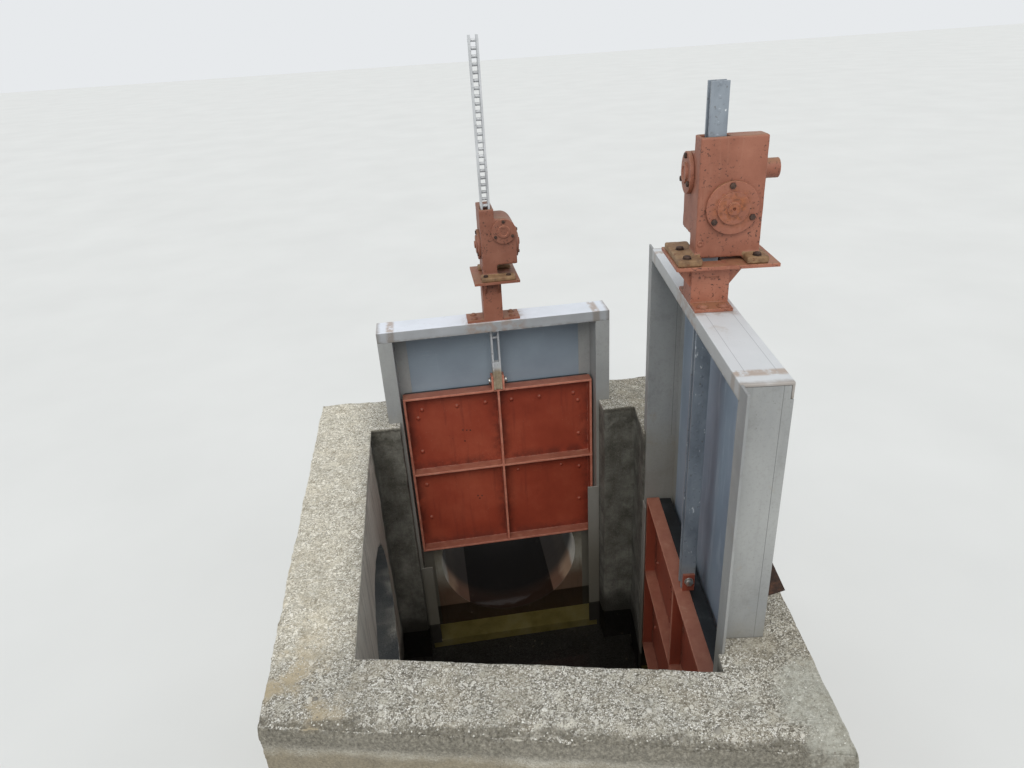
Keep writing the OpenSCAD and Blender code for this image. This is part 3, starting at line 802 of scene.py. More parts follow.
def piece(name, mesh, body, material, nodes=()):
    """Puts a mesh in the scene as a piece that rides on a body and may stand for nodes."""
    made = bpy.data.objects.new(name, mesh)
    bpy.context.scene.collection.objects.link(made)
    for entry in material if isinstance(material, list) else [material]:
        made.data.materials.append(entry)
    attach(made, body)
    if nodes:
        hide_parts(*nodes)
    return made


def mesh_of(bm, name, smooth=True):
    """The mesh under way in bm, which is freed."""
    mesh = bpy.data.meshes.new(name)
    bm.to_mesh(mesh)
    bm.free()
    for polygon in mesh.polygons:
        polygon.use_smooth = smooth
    return mesh


def gate_piece(gate, part, bm, body, material, replaced=None, weighed=True):
    """One of a gate's own pieces, from the mesh under way in bm."""
    nodes = [gate.node(replaced)] if replaced else ()
    made = piece(gate.node(part), mesh_of(bm, part), body, material, nodes)
    if weighed:
        weigh_normals(made)


def node_bmesh(node):
    """The node's mesh as clean faces: one vertex a corner, one face a flat side."""
    bm = bmesh.new()
    bm.from_mesh(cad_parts[node].data)
    bmesh.ops.remove_doubles(bm, verts=bm.verts, dist=1e-5)
    bmesh.ops.dissolve_limit(bm, angle_limit=math.radians(0.6), verts=bm.verts, edges=bm.edges)
    return bm


def weigh_normals(obj):
    """Keeps wide flat faces flat to the eye beside their rounded edges."""
    modifier = obj.modifiers.new("weighted", "WEIGHTED_NORMAL")
    modifier.mode = "FACE_AREA"
    modifier.weight = 50
    modifier.keep_sharp = True


def softened(node, body, material, width, steps=2, edge_material=None):
    """A copy of the node with its sharp edges rounded to a small radius."""
    bm = node_bmesh(node)
    sharp = [e for e in bm.edges if len(e.link_faces) == 2 and e.calc_face_angle(0) > math.radians(35)]
    bmesh.ops.bevel(bm, geom=sharp, offset=width, segments=steps, profile=0.5, affect="EDGES",
                    clamp_overlap=True, material=1 if edge_material else -1)
    bmesh.ops.triangulate(bm, faces=[f for f in bm.faces if len(f.verts) > 4])
    materials = [material, edge_material] if edge_material else [material]
    weigh_normals(piece(node + "_rounded", mesh_of(bm, node), body, materials, [node]))


def cast(node, body, material):
    """A copy of the node with the soft edges and faint waves of a casting."""
    source = piece(node + "_cast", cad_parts[node].data.copy(), body, material, [node])
    remesh = source.modifiers.new("remesh", "REMESH")
    remesh.mode = "VOXEL"
    remesh.voxel_size = CAST_VOXEL
    smooth = source.modifiers.new("smooth", "SMOOTH")
    smooth.factor = 0.5
    smooth.iterations = CAST_PASSES
    graph = bpy.context.evaluated_depsgraph_get()
    mesh = bpy.data.meshes.new_from_object(source.evaluated_get(graph))
    source.modifiers.clear()
    source.data = mesh
    count = len(mesh.vertices)
    points = np.empty(count * 3)
    normals = np.empty(count * 3)
    mesh.vertices.foreach_get("co", points)
    mesh.vertices.foreach_get("normal", normals)
    points = points.reshape(-1, 3)
    waves = np.array([noise.noise(Vector(p) * CAST_WAVES + CAST_SHIFT) for p in points])
    points += normals.reshape(-1, 3) * (waves[:, None] - 1) * CAST_RELIEF
    mesh.vertices.foreach_set("co", points.ravel())
    for polygon in mesh.polygons:
        polygon.use_smooth = True
    mesh.materials.clear()
    mesh.materials.append(material)
    return source


def lathe(bm, profile, place, steps=20):
    """Turns a profile of (radius, height) points about the local Z axis."""
    rings = []
    for radius, height in profile:
        if radius < 1e-7:
            rings.append([bm.verts.new(place @ Vector((0, 0, height)))])
            continue
        turns = [2 * math.pi * i / steps for i in range(steps)]
        rings.append([bm.verts.new(place @ Vector((radius * math.cos(t), radius * math.sin(t), height)))
                      for t in turns])
    for lower, upper in zip(rings, rings[1:]):
        for i in range(steps):
            j = (i + 1) % steps
            low_side = lower[i % len(lower)], lower[j % len(lower)]
            high_side = upper[j % len(upper)], upper[i % len(upper)]
            corners = list(dict.fromkeys(low_side + high_side))
            if len(corners) > 2:
                bm.faces.new(corners)


def dome(bm, place, radius, height):
    """A domed bolt head with a thin washer under it."""
    washer = radius * 1.32
    rim = height * 0.22
    profile = [(0, 0), (washer, 0), (washer, rim * 0.8), (washer * 0.95, rim), (radius, rim)]
    arc = [math.pi / 2 * i / 4 for i in range(5)]
    crown = height - rim
    profile += [(radius * math.cos(a), rim + crown * (0.25 + 0.75 * math.sin(a))) for a in arc[:-1]]
    profile.append((0, height))
    lathe(bm, profile, place, 14)


def hexagon(bm, place, across, height, washer=0.0):
    """A hexagon head or nut with chamfered corners, on a washer if one is asked for."""
    base = height * 0.18 if washer else 0.0
    if washer:
        lathe(bm, [(0, 0), (washer, 0), (washer, base * 0.7), (washer * 0.94, base), (0, base)], place, 20)
    corner = across / math.sqrt(3)
    top = base + height
    profile = [(0, base), (corner, base), (corner, base + height * 0.78), (corner * 0.86, top), (0, top)]
    lathe(bm, profile, place, 6)


def turned(x, y, z, direction):
    """Matrix at a point whose local Z axis points along direction."""
    return Matrix.Translation((x, y, z)) @ Vector(direction).to_track_quat("Z", "Y").to_matrix().to_4x4()


def bead(bm, start, end, radius, place, seed):
    """A hand laid weld from one point to another, with ripples every few millimetres."""
    start, end = Vector(start), Vector(end)
    along = end - start
    rings = max(6, int(along.length / WELD_RIPPLE))
    side = along.cross(Vector((0.37, 0.61, 0.7))).normalized()
    across = along.cross(side).normalized()
    previous = None
    draw = random.Random(seed)
    for i in range(rings + 1):
        share = i / rings
        swell = (0.86 + 0.14 * math.cos(i * 1.9)) * (0.9 + 0.2 * draw.random())
        ends = min(1.0, 6 * share + 0.25, 6 * (1 - share) + 0.25)
        size = radius * swell * ends
        centre = start + along * share
        ring = [bm.verts.new(place @ (centre + side * size * math.cos(a) + across * size * math.sin(a)))
                for a in [math.pi / 3 * j for j in range(6)]]
        if previous:
            for j in range(6):
                bm.faces.new([previous[j], previous[(j + 1) % 6], ring[(j + 1) % 6], ring[j]])
        else:
            bm.faces.new(ring[::-1])
        previous = ring
    bm.faces.new(previous)


# Concrete


TOP_ROUND = 0.050
SIDE_ROUND = 0.018
RIM_BEVEL = 0.006
RIM_DEPTH = 0.115
RIM_STEP = 0.0078
INSIDE_STEP = 0.0165
BURIED_STEP = 0.050
BACK_RELIEF = 0.011
INSIDE_RELIEF = 0.004
OUTSIDE_RELIEF = 0.006


def outer_corners():
    """Corners of the chamber's outer plan, counter-clockwise, from the node itself."""
    points = [v.co.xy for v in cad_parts["chamber_walls"].data.vertices if v.co.z > RIM_Z - 1e-4]
    hull = [points[i] for i in convex_hull_2d(points)]
    corners = []
    for i, corner in enumerate(hull):
        before = (corner - hull[i - 1]).normalized()
        after = (hull[(i + 1) % len(hull)] - corner).normalized()
        if before.dot(after) < 0.999:
            corners.append(corner.copy())
    area = sum(a.x * b.y - b.x * a.y for a, b in zip(corners, corners[1:] + corners[:1]))
    return corners if area > 0 else corners[::-1]


OUTER_CORNERS = outer_corners()


def inward_distances(points, corners):
    """For each side of a plan given counter-clockwise, every point's distance inward from it."""
    return np.array([(points[:, :2] - np.array(start)) @ -np.array(out)
                     for start, _, out in plan_sides(corners)])


def rounded_edge(depth, drop, radius):
    """Moves points of a square edge onto an arc: depth and drop are measured from its two faces.
    Also gives which points are on the arc, and its direction outward and upward there."""
    from_x, from_z = depth - radius, drop - radius
    reach = np.hypot(from_x, from_z)
    near = (from_x < 0) & (from_z < 0) & (reach > radius)
    share = np.where(near, radius / np.maximum(reach, 1e-9), 1.0)
    inset = np.where(near, radius + from_x * share - depth, 0.0)
    sink = np.where(near, radius + from_z * share - drop, 0.0)
    return inset, sink, near, -from_x / np.maximum(reach, 1e-9), -from_z / np.maximum(reach, 1e-9)


def fractal(points, scale, octaves, seed):
    """Layered noise between about -1 and 1 at each point."""
    shift = Vector((seed, seed * 0.7, -seed))
    return np.array([noise.fractal(Vector(p) * scale + shift, 0.9, 2.0, octaves) for p in points])


def on_one_side(a, b, corners):
    """True if both points lie on the same side of a plan."""
    return any(max(abs((p.xy - start).dot(out)) for p in (a, b)) < 5e-4
               for start, _, out in plan_sides(corners))


def wanted_step(point):
    """Wanted distance between the concrete's points at a place."""
    if point.z > RIM_Z - RIM_DEPTH:
        return RIM_STEP
    inward = inward_distances(np.array([point]), OUTER_CORNERS)[:, 0].min()
    return BURIED_STEP if inward < 0.010 or point.z < 0.020 else INSIDE_STEP


def split_edge(a, b):
    """Points from a to b, closer together than the wanted step. The same from either end."""
    middle = (a + b) / 2
    if (b - a).length <= wanted_step(middle) * 1.3:
        return [a]
    return split_edge(a, middle) + split_edge(middle, b)


def fill_points(low, high, to_space, draw):
    """Points spread over a rectangle of a face, at the wanted step."""
    centre = (low + high) / 2
    step = wanted_step(to_space(centre))
    size = high - low
    if max(size) <= step * 1.4:
        jitter = Vector((draw.uniform(-0.22, 0.22) * size.x, draw.uniform(-0.22, 0.22) * size.y))
        return [(centre + jitter, step)]
    if size.x > 2 * size.y or size.y > 2 * size.x:
        side = 0 if size.x > size.y else 1
        split = centre.copy()
        split[1 - side] = high[1 - side]
        other = centre.copy()
        other[1 - side] = low[1 - side]
        return fill_points(low, split, to_space, draw) + fill_points(other, high, to_space, draw)
    result = []
    for corner in (low, Vector((centre.x, low.y)), Vector((low.x, centre.y)), centre):
        result += fill_points(corner, corner + size / 2, to_space, draw)
    return result


def inside_polygon(points, ring):
    """Even-odd test of every point against a ring of points."""
    result = np.zeros(len(points), bool)
    for (x0, y0), (x1, y1) in zip(ring, np.roll(ring, -1, axis=0)):
        crosses = (y0 > points[:, 1]) != (y1 > points[:, 1])
        if crosses.any():
            at = x0 + (points[:, 1] - y0) / (y1 - y0 + 1e-30) * (x1 - x0)
            result ^= crosses & (points[:, 0] < at)
    return result


def face_patch(face, draw):
    """Triangles over one flat face: its points in space and the corners of each triangle."""
    border = []
    for loop in face.loops:
        a, b = loop.vert.co, loop.link_loop_next.vert.co
        forward = tuple(a) <= tuple(b)
        run = split_edge(a.copy(), b.copy()) if forward else split_edge(b.copy(), a.copy()) + [a.copy()]
        border += run if forward else [a.copy()] + run[1:-1][::-1]
    origin = face.calc_center_median()
    across = face.normal.orthogonal().normalized()
    upward = face.normal.cross(across)

    def to_space(flat):
        return origin + across * flat.x + upward * flat.y

    ring = [Vector(((p - origin).dot(across), (p - origin).dot(upward))) for p in border]
    low = Vector((min(p.x for p in ring), min(p.y for p in ring)))
    high = Vector((max(p.x for p in ring), max(p.y for p in ring)))
    tree = KDTree(len(ring))
    for i, p in enumerate(ring):
        tree.insert((p.x, p.y, 0), i)
    tree.balance()
    filled = fill_points(low, high, to_space, draw)
    inside = inside_polygon(np.array([p for p, _ in filled]), np.array(ring))
    kept = [p for (p, step), within in zip(filled, inside)
            if within and tree.find((p.x, p.y, 0))[2] > step * 0.55]
    count = len(ring)
    edges = [(i, (i + 1) % count) for i in range(count)]
    flat, _, triangles, sources, _, _ = delaunay_2d_cdt(ring + kept, edges, [], 1, 1e-7)
    points = [border[source[0]] if source and source[0] < count else to_space(p)
              for p, source in zip(flat, sources)]
    if triangles:
        a, b, c = (points[i] for i in triangles[0][:3])
        if (b - a).cross(c - a).dot(face.normal) < 0:
            triangles = [t[::-1] for t in triangles]
    return points, triangles


def concrete_mesh():
    """The chamber in small triangles, with worn edges and rough faces inside the node's own faces."""
    bm = node_bmesh("chamber_walls")
    rim = [e for e in bm.edges if all(v.co.z > RIM_Z - 1e-4 for v in e.verts)
           and any(on_one_side(*[v.co for v in e.verts], plan) for plan in (INNER_CORNERS, OUTER_CORNERS))]
    bmesh.ops.bevel(bm, geom=rim, offset=RIM_BEVEL, segments=2, profile=0.5, affect="EDGES",
                    clamp_overlap=False)
    bm.normal_update()
    draw = random.Random(5)
    points, triangles = [], []
    for face in bm.faces:
        own, corners = face_patch(face, draw)
        triangles += [tuple(i + len(points) for i in t) for t in corners]
        points += own
    bm.free()
    bm = bmesh.new()
    for point in points:
        bm.verts.new(point)
    bm.verts.ensure_lookup_table()
    for triangle in triangles:
        bm.faces.new([bm.verts[i] for i in triangle])
    bmesh.ops.remove_doubles(bm, verts=bm.verts, dist=2e-5)
    bm.normal_update()
    places = np.array([v.co for v in bm.verts])
    normals = np.array([v.normal for v in bm.verts])
    shape_concrete(places, normals)
    for vertex, place in zip(bm.verts, places):
        vertex.co = place
    return bm


def clear_of_frames(points):
    """0 beside the steel frames and 1 further off, so that the concrete stays against them."""
    result = np.ones(len(points))
    for gate in GATES:
        turn = np.array(gate.inverse.to_3x3())
        local = points @ turn.T + np.array(gate.inverse.translation)
        half = gate.width / 2
        beyond = np.maximum(np.abs(local[:, 0]) - half - 0.010, 0)
        ahead = np.maximum(-local[:, 1], local[:, 1] - FRAME_D)
        away = np.hypot(beyond, np.maximum(ahead, 0))
        result = np.minimum(result, np.clip(away / 0.030, 0.08, 1))
    return result


def shape_concrete(points, normals):
    """Wears the outer edges round and roughens the faces, in place."""
    outer = inward_distances(points, OUTER_CORNERS)
    wall = -inward_distances(points, INNER_CORNERS).min(axis=0)
    drop = RIM_Z - points[:, 2]
    broad = fractal(points, 9, 3, 3.1)
    fine = fractal(points, 60, 3, 8.7)
    for depth, (start, along, out) in zip(outer, plan_sides(OUTER_CORNERS)):
        is_front = abs(along.y) < 0.5 and start.y < 0
        radius = (TOP_ROUND if is_front else SIDE_ROUND) * (1 + 0.35 * broad)
        inset, sink, near, outward, upward = rounded_edge(depth, drop, radius)
        arc = np.stack([out.x * outward, out.y * outward, upward], axis=1)
        normals = np.where(near[:, None], arc, normals)
        points[:, 0] -= out.x * inset
        points[:, 1] -= out.y * inset
        points[:, 2] -= sink
    in_chamber = (wall < 0.02) & (drop > 0.01)
    at_back = in_chamber & (points[:, 1] > 0.35)
    depth = np.where(at_back, BACK_RELIEF, np.where(in_chamber, INSIDE_RELIEF, OUTSIDE_RELIEF))
    rough = (0.5 + 0.5 * np.clip(broad * 0.7 + fine * 0.6, -1, 1)) * depth * clear_of_frames(points)
    points -= normals * rough[:, None]


def build_concrete(material):
    """The chamber. Returns a tree for finding places on its surface."""
    bm = concrete_mesh()
    tree = BVHTree.FromBMesh(bm)
    mesh = mesh_of(bm, "chamber_concrete")
    mesh.set_sharp_from_angle(angle=math.radians(55))
    piece("chamber_concrete", mesh, "chamber", material, ["chamber_walls"])
    return tree


# Stones that show by themselves in the photograph: place in plan and radius
LONE_STONES = [(0.252, -0.822, 0.013), (0.129, -0.744, 0.012), (0.157, -0.812, 0.008),
               (-0.094, -0.700, 0.008), (0.364, -0.800, 0.007), (-0.336, -0.672, 0.010),
               (0.055, -0.735, 0.010), (0.095, -0.725, 0.008), (-0.600, -0.580, 0.009),
               (0.300, -0.740, 0.007), (-0.200, -0.600, 0.006), (-0.050, -0.610, 0.006)]
PEBBLE_COUNT = 5000
PEBBLE_SIZES = (0.0014, 0.0036)


def build_stones(tree, material):
    """Small stones half sunk in the top of the concrete, and a few larger pale ones."""
    bm = bmesh.new()
    bmesh.ops.create_icosphere(bm, subdivisions=1, radius=1.0)
    small = shape_of(bm)
    bm = bmesh.new()
    bmesh.ops.create_icosphere(bm, subdivisions=2, radius=1.0)
    large = shape_of(bm)
    draw = random.Random(11)
    low = [min(c[i] for c in OUTER_CORNERS) for i in range(2)]
    high = [max(c[i] for c in OUTER_CORNERS) for i in range(2)]
    places, faces = [], []
    made = 0
    while made < PEBBLE_COUNT:
        x = draw.uniform(low[0], high[0])
        y = draw.uniform(low[1], high[1])
        made += add_stone(places, faces, small, tree, (x, y, draw.uniform(*PEBBLE_SIZES)), draw)
    for stone in LONE_STONES:
        add_stone(places, faces, large, tree, stone, draw)
    mesh = bpy.data.meshes.new("concrete_stones")
    mesh.from_pydata(places, [], faces)
    mesh.polygons.foreach_set("use_smooth", [True] * len(mesh.polygons))
    piece("concrete_stones", mesh, "chamber", material)


def shape_of(bm):
    """Points and faces of a small template, which is freed."""
    points = [v.co.copy() for v in bm.verts]
    faces = [[v.index for v in f.verts] for f in bm.faces]
    bm.free()
    return points, faces


def add_stone(places, faces, template, tree, stone, draw):
    """Adds one stone where a line down from above meets the rim. Returns 1 if it does."""
    x, y, radius = stone
    spot, normal, _, _ = tree.ray_cast(Vector((x, y, RIM_Z + 0.5)), Vector((0, 0, -1)))
    if spot is None or spot.z < RIM_Z - 0.03 or normal.z < 0.75:
        return 0
    turn = Matrix.Rotation(draw.uniform(0, 6.3), 4,
                           Vector((draw.random(), draw.random(), 0.3)).normalized())
    shape = Matrix.Diagonal((draw.uniform(0.8, 1.3), draw.uniform(0.7, 1.1), draw.uniform(0.55, 0.85), 1))
    place = Matrix.Translation(spot - normal * radius * 0.45) @ turn @ shape @ Matrix.Scale(radius, 4)
    start = len(places)
    for point in template[0]:
        places.append(place @ (point * draw.uniform(0.86, 1.14)))
    faces += [[start + i for i in face] for face in template[1]]
    return 1


# Water


WATER_OVERLAP = 0.012


def water_edge(gate, x):
    """Where the chamber's own water ends before a gate, along the gate's Y axis."""
    wall = 2 if gate is REAR else 1
    ends = [gate.inverse @ Vector((*INNER_CORNERS[i % 4], 0)) for i in (wall, wall + 1)]
    share = (x - ends[0].x) / (ends[1].x - ends[0].x)
    return ends[0].y + share * (ends[1].y - ends[0].y) + WATER_OVERLAP


def build_water(material):
    """One still surface in the chamber and into both culverts, with fine ripples."""
    bm = bmesh.new()
    outline = []
    for i, corner in enumerate(INNER_CORNERS):
        before = (corner - INNER_CORNERS[i - 1]).normalized()
        after = (INNER_CORNERS[(i + 1) % 4] - corner).normalized()
        outline.append(corner + (before - after) * WATER_OVERLAP)
    face = bm.faces.new([bm.verts.new((c.x, c.y, WATER_Z)) for c in outline])
    face.normal_update()
    if face.normal.z < 0:
        face.normal_flip()
    chord = math.sqrt(CULVERT_R ** 2 - (RIM_Z - CULVERT_DROP - WATER_Z) ** 2)
    level = WATER_Z - RIM_Z
    back = FRAME_D - PLATE_T
    for gate in GATES:
        way = gate.width / 2 - FLANGE_COVER - 0.001
        half = gate.web - 0.001
        start = max(0.0, water_edge(gate, 0.0))
        quads = [((-half, start), (half, start), (half, back), (-half, back)),
                 ((-chord, back), (chord, back), (chord, gate.pipe_end), (-chord, gate.pipe_end))]
        if gate is REAR:
            left, right = water_edge(gate, -way), water_edge(gate, way)
            quads.append(((-way, left), (way, right), (way, 0), (-way, 0)))
        for quad in quads:
            bm.faces.new([bm.verts.new(gate.matrix @ Vector((x, y, level))) for x, y in quad])
    bmesh.ops.subdivide_edges(bm, edges=bm.edges, cuts=3, use_grid_fill=True)
    piece("water_surface", mesh_of(bm, "water_surface"), "chamber", material)


# Camera, light and floor


def build_camera():
    """The camera of the photograph: yaw to the right, pitch down, roll to the left."""
    data = bpy.data.cameras.new("camera")
    data.lens = CAMERA_LENS
    data.sensor_width = CAMERA_SENSOR
    camera = bpy.data.objects.new("camera", data)
    bpy.context.scene.collection.objects.link(camera)
    ahead = math.cos(CAMERA_PITCH)
    forward = Vector((math.sin(CAMERA_YAW) * ahead, math.cos(CAMERA_YAW) * ahead, -math.sin(CAMERA_PITCH)))
    level = Vector((math.cos(CAMERA_YAW), -math.sin(CAMERA_YAW), 0))
    upright = level.cross(forward)
    right = level * math.cos(CAMERA_ROLL) + upright * math.sin(CAMERA_ROLL)
    top = upright * math.cos(CAMERA_ROLL) - level * math.sin(CAMERA_ROLL)
    turn = Matrix((right, top, -forward)).transposed().to_4x4()
    camera.matrix_world = Matrix.Translation(CAMERA_PLACE) @ turn
    bpy.context.scene.camera = camera


def build_light():
    """Soft sky light with one broad lamp, and a pale backdrop for camera, mirror and glass rays."""
    world = bpy.data.worlds.new("sky")
    bpy.context.scene.world = world
    world.use_nodes = True
    nodes = world.node_tree.nodes
    links = world.node_tree.links
    light = nodes["Background"]
    light.inputs["Color"].default_value = SKY_COLOUR
    light.inputs["Strength"].default_value = SKY_STRENGTH
    shown = nodes.new("ShaderNodeBackground")
    shown.inputs["Color"].default_value = BACKDROP_COLOUR
    shown.inputs["Strength"].default_value = 1.0
    path = nodes.new("ShaderNodeLightPath")
    seen = path.outputs["Is Camera Ray"]
    for ray in ("Is Glossy Ray", "Is Transmission Ray"):
        either = nodes.new("ShaderNodeMath")
        either.operation = "MAXIMUM"
        links.new(seen, either.inputs[0])
        links.new(path.outputs[ray], either.inputs[1])
        seen = either.outputs[0]
    mixed = nodes.new("ShaderNodeMixShader")
    links.new(seen, mixed.inputs[0])
    links.new(light.outputs[0], mixed.inputs[1])
    links.new(shown.outputs[0], mixed.inputs[2])
    links.new(mixed.outputs[0], nodes["World Output"].inputs["Surface"])
    sun = bpy.data.lights.new("soft_sun", "SUN")
    sun.energy = SUN_ENERGY
    sun.angle = SUN_SPREAD
    sun.color = SUN_COLOUR
    lamp = bpy.data.objects.new("soft_sun", sun)
    bpy.context.scene.collection.objects.link(lamp)
    lamp.rotation_euler = SUN_FROM.to_track_quat("Z", "Y").to_euler()


def build_floor():
    """A plain pale floor, for the render only."""
    m = Finish("studio_floor", Roughness=0.95)
    m.colour = m.shades(m.noise(0.8, 3), (0.3, 214, 214, 212), (0.7, 219, 219, 217))
    material = m.done()
    bm = bmesh.new()
    bmesh.ops.create_grid(bm, x_segments=2, y_segments=2, size=60)
    floor = bpy.data.objects.new("floor", mesh_of(bm, "floor", False))
    floor.data.materials.append(material)
    bpy.context.scene.collection.objects.link(floor)


# Steel frames


def build_frames(materials):
    """What stays still of each gate, below the hoist."""
    for gate in GATES:
        posts = stainless_finish(gate)
        for part, finish, slot, width, steps in (
                ("side_posts", posts, "stainless_post", 0.0016, 2),
                ("retainer_strips", posts, "stainless_post", 0.0012, 2),
                ("top_beam", beam_finish(gate), "pale_beam", 0.0035, 3),
                ("breast_plate", plate_finish(gate), "plate_grey", 0.001, 2),
                ("culvert_plate", low_plate_finish(gate), "plate_low", 0.001, 2),
                ("sill_beam", sill_finish(gate), "sill_steel", 0.0012, 2),
                ("culvert_pipe", pipe_finish(gate), "pipe_concrete", 0.002, 2)):
            softened(gate.node(part), "chamber", finish, width, steps)
        paint = materials["pedestal"][gate]
        softened(gate.node("hoist_pedestal"), "chamber", paint, 0.0012,
                 edge_material=materials["iron_edge"])
    softened("right_post_bracket", "chamber", materials["rust"], 0.0008)


# Bolts on the leaves: distance from the middle and below the leaf's top
LEAF_BOLTS = [(0.303, 0.073), (0.165, 0.072), (0.052, 0.071), (0.321, 0.108), (0.321, 0.262),
              (0.321, 0.423), (0.319, 0.588)]
MIDDLE_BOLTS = [(0.062, 0.404), (0.244, 0.405)]
LEAF_PLUG = [(0, 0.0010), (0.0028, 0.0010), (0.0032, 0.0002), (0, 0.0002)]
LEAF_HOLES = [(-0.151, 0.184), (-0.135, 0.187), (-0.121, 0.189), (-0.147, 0.236),
              (-0.115, 0.509), (-0.098, 0.512), (-0.108, 0.523)]
# Welds on the skin: shares of the half width across, and of the height upward
WELDS_ACROSS = ((-0.75, -0.60), (-0.35, -0.18), (0.12, 0.30), (0.58, 0.78))
WELDS_UP = ((0.10, 0.17), (0.30, 0.40), (0.62, 0.72), (0.84, 0.92))


def build_leaves(materials):
    """What slides with each gate's rack: leaf, seal, lugs and their details."""
    for gate in GATES:
        body = gate.leaf_body
        paint = leaf_finish(gate)
        edge = leaf_finish(gate, "leaf_edge_paint", 0.7)
        softened(gate.node("gate_leaf"), body, paint, 0.0014, 2, edge)
        softened(gate.node("leaf_seal"), body, materials["rubber"], 0.002)
        softened(gate.node("rack_lugs"), body, paint, 0.0014, 2, edge)
        bm = bmesh.new()
        for side in (-1, 1):
            for x, down in LEAF_BOLTS:
                dome(bm, on_skin(gate, side * x, down), *LEAF_BOLT)
        for x, down in MIDDLE_BOLTS:
            dome(bm, on_skin(gate, x, down), *MIDDLE_BOLT)
        gate_piece(gate, "leaf_bolts", bm, body, paint, weighed=False)
        bm = bmesh.new()
        for x, down in LEAF_HOLES:
            lathe(bm, LEAF_PLUG, on_skin(gate, x, down), 10)
        gate_piece(gate, "leaf_plugs", bm, body, materials["dark_bolt"], weighed=False)
        bm = bmesh.new()
        leaf_welds(bm, gate)
        gate_piece(gate, "leaf_welds", bm, body, paint, weighed=False)
        build_rack(gate, materials)


def on_skin(gate, x, down):
    """Matrix on the skin's front, at the rear leaf's measures stretched to this one's width."""
    return gate.matrix @ turned(x * gate.side / REAR.side, gate.skin_y, gate.leaf_top - down, (0, -1, 0))


def leaf_welds(bm, gate):
    """Short welds where the ribs meet each other and the skin."""
    side = gate.side
    skin = gate.skin_y
    height = gate.leaf_top - gate.leaf_low
    levels = (gate.leaf_low + RIB_T, gate.rib_z - RIB_T / 2, gate.rib_z + RIB_T / 2, gate.leaf_top - RIB_T)
    columns = (-side + RIB_T, -RIB_T / 2, RIB_T / 2, side - RIB_T)
    runs = [((x, gate.leaf_y + 0.003, z), (x, skin - 0.001, z)) for z in levels for x in columns]
    for z in levels:
        for x0, x1 in WELDS_ACROSS:
            runs.append(((x0 * side, skin, z), (x1 * side, skin, z)))
    for x in columns:
        for low, high in WELDS_UP:
            runs.append(((x, skin, gate.leaf_low + low * height), (x, skin, gate.leaf_low + high * height)))
    for seed, (start, end) in enumerate(runs, 1):
        bead(bm, start, end, LEAF_WELD_R, gate.matrix, seed)


def build_rack(gate, materials):
    """Rack bars with rounded edges, and round pins with riveted ends."""
    body = gate.leaf_body
    # painted light and shade: the two racks are copies of one steel, the rear one light where it is lit,
    # the right one darker for the shade it stands in
    if gate is REAR:
        metal = rack_finish(gate, (172, 173, 175), (196, 198, 200), (216, 217, 219))
    else:
        metal = rack_finish(gate, (110, 117, 126), (134, 142, 151), (156, 164, 172))
    softened(gate.node("rack_bars"), body, metal, 0.001)
    low, high = gate.box("rack_pins")
    size = gate.size
    radius = RACK_PIN_R * size
    first = low.z + radius
    count = int(round((high.z - radius - first) / (RACK_PITCH * size)))
    inner = (RACK_W / 2 - RACK_BAR_T) * size
    outer = RACK_W / 2 * size
    flat_rivet = [(across * size, height) for across, height in FLAT_RIVET]
    bm = bmesh.new()
    for i in range(count + 1):
        z = first + i * RACK_PITCH * size
        lathe(bm, [(0, -inner), (radius, -inner), (radius, inner), (0, inner)],
              gate.matrix @ turned(0, RACK_Y, z, (1, 0, 0)), 18)
        for end in (-1, 1):
            place = gate.matrix @ turned(end * (outer - 0.0006), RACK_Y, z, (end, 0, 0))
            if i == count and gate is REAR:
                lathe(bm, TOP_RIVET, place, 14)
            else:
                lathe(bm, flat_rivet, place, 12)
    gate_piece(gate, "round_pins", bm, body, metal, "rack_pins")
    build_clevis_bolt(gate, materials["bright"])


def build_clevis_bolt(gate, material):
    """A bolt through the lugs, with a hexagon head, a nut and two washers."""
    low, high = gate.box("rack_bolt")
    z = (low.z + high.z) / 2
    radius = (high.z - low.z) / 2
    reach = high.x
    lug = RACK_W * gate.size / 2 + LUG_PLAY + LUG_T
    bm = bmesh.new()
    lathe(bm, [(0, -reach), (radius * 0.8, -reach), (radius, -reach + 0.002), (radius, reach - 0.002),
               (radius * 0.8, reach), (0, reach)], gate.matrix @ turned(0, RACK_Y, z, (1, 0, 0)), 22)
    for side, sizes in ((1, CLEVIS_HEAD), (-1, CLEVIS_NUT)):
        hexagon(bm, gate.matrix @ turned(side * lug, RACK_Y, z, (side, 0, 0)), *sizes)
    gate_piece(gate, "clevis_bolt", bm, gate.leaf_body, material, "rack_bolt")


# Hoists


def build_hoists(materials):
    """Each hoist's casting, covers, shaft and bolts."""
    for gate in GATES:
        iron = materials["iron"][gate]
        made = cast(gate.node("hoist_casting"), "chamber", iron)
        dust_feet(made, gate, materials["dusty"])
        for part in ("worm_cover", "wheel_cover", "shaft_cover", "worm_shaft"):
            paint = materials["rusty_iron"] if part == "shaft_cover" and gate is RIGHT else iron
            softened(gate.node(part), "chamber", paint, 0.0012 * gate.size, 2, materials["iron_edge"])
        bm = bmesh.new()
        hoist_bolts(bm, gate)
        gate_piece(gate, "hoist_bolts", bm, "chamber", materials["dark_bolt"])
        bm = bmesh.new()
        pedestal_details(bm, gate)
        gate_piece(gate, "pedestal_bolts", bm, "chamber", iron)


def dust_feet(made, gate, material):
    """The casting's feet take the dusty finish."""
    made.data.materials.append(material)
    back = gate.hoist().inverted()
    for polygon in made.data.polygons:
        centre = back @ polygon.center
        beside = centre.y < BOX_Y[0] - 0.001 or centre.y > BOX_Y[1] + 0.001 or abs(centre.x) > BOX_X + 0.001
        if centre.z < FOOT_H + 0.003 and beside:
            polygon.material_index = 1


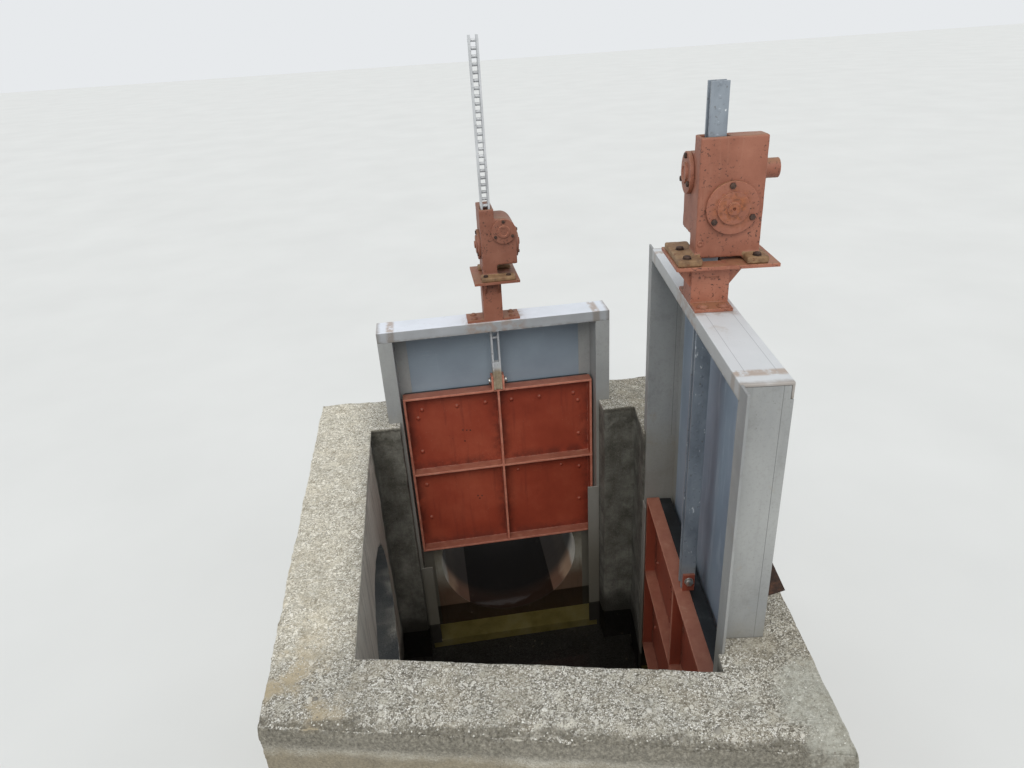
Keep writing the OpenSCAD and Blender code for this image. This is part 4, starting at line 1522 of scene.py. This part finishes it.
def around(radius, degrees):
    """A place on a circle, in its plane."""
    angle = math.radians(degrees)
    return radius * math.cos(angle), radius * math.sin(angle)


def hoist_bolts(bm, gate):
    """Dark bolts on the covers and feet."""
    hoist = gate.hoist()
    hand = gate.hand
    for degrees in WHEEL_BOLTS_AT:
        y, z = around(WHEEL_BOLTS_R, degrees)
        for side, face in ((hand, HOUSE_X), (-hand, BOX_X)):
            place = hoist @ turned(side * (face + COVER_T), WHEEL[0] + y, WHEEL[1] + z, (side, 0, 0))
            hexagon(bm, place, *WHEEL_BOLT)
    for degrees in WORM_BOLTS_AT:
        x, z = around(WORM_BOLTS_R, degrees)
        place = hoist @ turned(hand * (WORM[0] + x), BOX_Y[0] - COVER_T, WORM[1] + z, (0, -1, 0))
        hexagon(bm, place, *WORM_BOLT)
    for x, y in PAD_BOLTS[gate]:
        hexagon(bm, hoist @ turned(hand * x, y, FOOT_H - 0.0005, (0, 0, 1)), *PAD_BOLT)


def pedestal_details(bm, gate):
    """Painted heads on the pedestal's feet, the plug in the casting, and welds."""
    foot = gate.matrix @ Matrix.Translation((0, RACK_Y, gate.rise)) @ Matrix.Scale(gate.size, 4)
    base = PLATFORM_T / gate.size
    for x in (-FOOT_BOLTS_X[gate], FOOT_BOLTS_X[gate]):
        for y in FOOT_BOLTS_Y:
            dome(bm, foot @ turned(x, y, base, (0, 0, 1)), *FOOT_BOLT)
    side = -gate.hand
    lathe(bm, PLUG, gate.hoist() @ turned(side * (BOX_X - 0.0008), *PLUG_YZ, (side, 0, 0)), 16)
    height = (gate.hoist_z - gate.rise) / gate.size
    ends = [(side, z) for side in (-1, 1) for z in (base, height - base)]
    for seed, (side, z) in enumerate(ends, 41):
        x = side * COLUMN_X
        bead(bm, (x, -COLUMN_WELD_Y, z), (x, COLUMN_WELD_Y, z), COLUMN_WELD_R, foot, seed)
    mark = height * MARK_SHARE
    bead(bm, (COLUMN_X, MARK_Y[0], mark), (COLUMN_X, MARK_Y[1], mark), MARK_WELD_R, foot, 61)
    for y in MARK_Y:
        bead(bm, (COLUMN_X, y, mark - MARK_HALF), (COLUMN_X, y, mark + MARK_HALF), MARK_WELD_R, foot, 62)


def main():
    build_camera()
    build_light()
    build_floor()
    materials = {
        # painted shade: each gate's hoist and pedestal paint is a darker copy of one red oxide, darkest on
        # the rear gate
        "iron": {REAR: iron_finish("shaded_red_oxide", 0.80), RIGHT: iron_finish("red_oxide", 0.89)},
        "rusty_iron": iron_finish("rusty_red_oxide", 0.89, rusty_gate=RIGHT),
        "pedestal": {REAR: iron_finish("shaded_pedestal_paint", 0.87), RIGHT: iron_finish("pedestal_paint", 0.94)},
        "iron_edge": iron_finish("red_oxide_edge", worn=0.7),
        "dusty": dusty_iron_finish(),
        "rust": rusty_finish("old_rust", (30, 20, 15), (54, 35, 26), (84, 54, 38)),
        "dark_bolt": rusty_finish("dark_bolts", (38, 28, 24), (66, 48, 40), (98, 74, 60)),
        "bright": bright_steel_finish(),
        "rubber": rubber_finish(),
    }
    build_frames(materials)
    build_leaves(materials)
    build_hoists(materials)
    tree = build_concrete(concrete_finish())
    build_stones(tree, pebble_finish())
    build_water(water_finish())


bpy.context.scene.view_settings.view_transform = "Standard"
main()
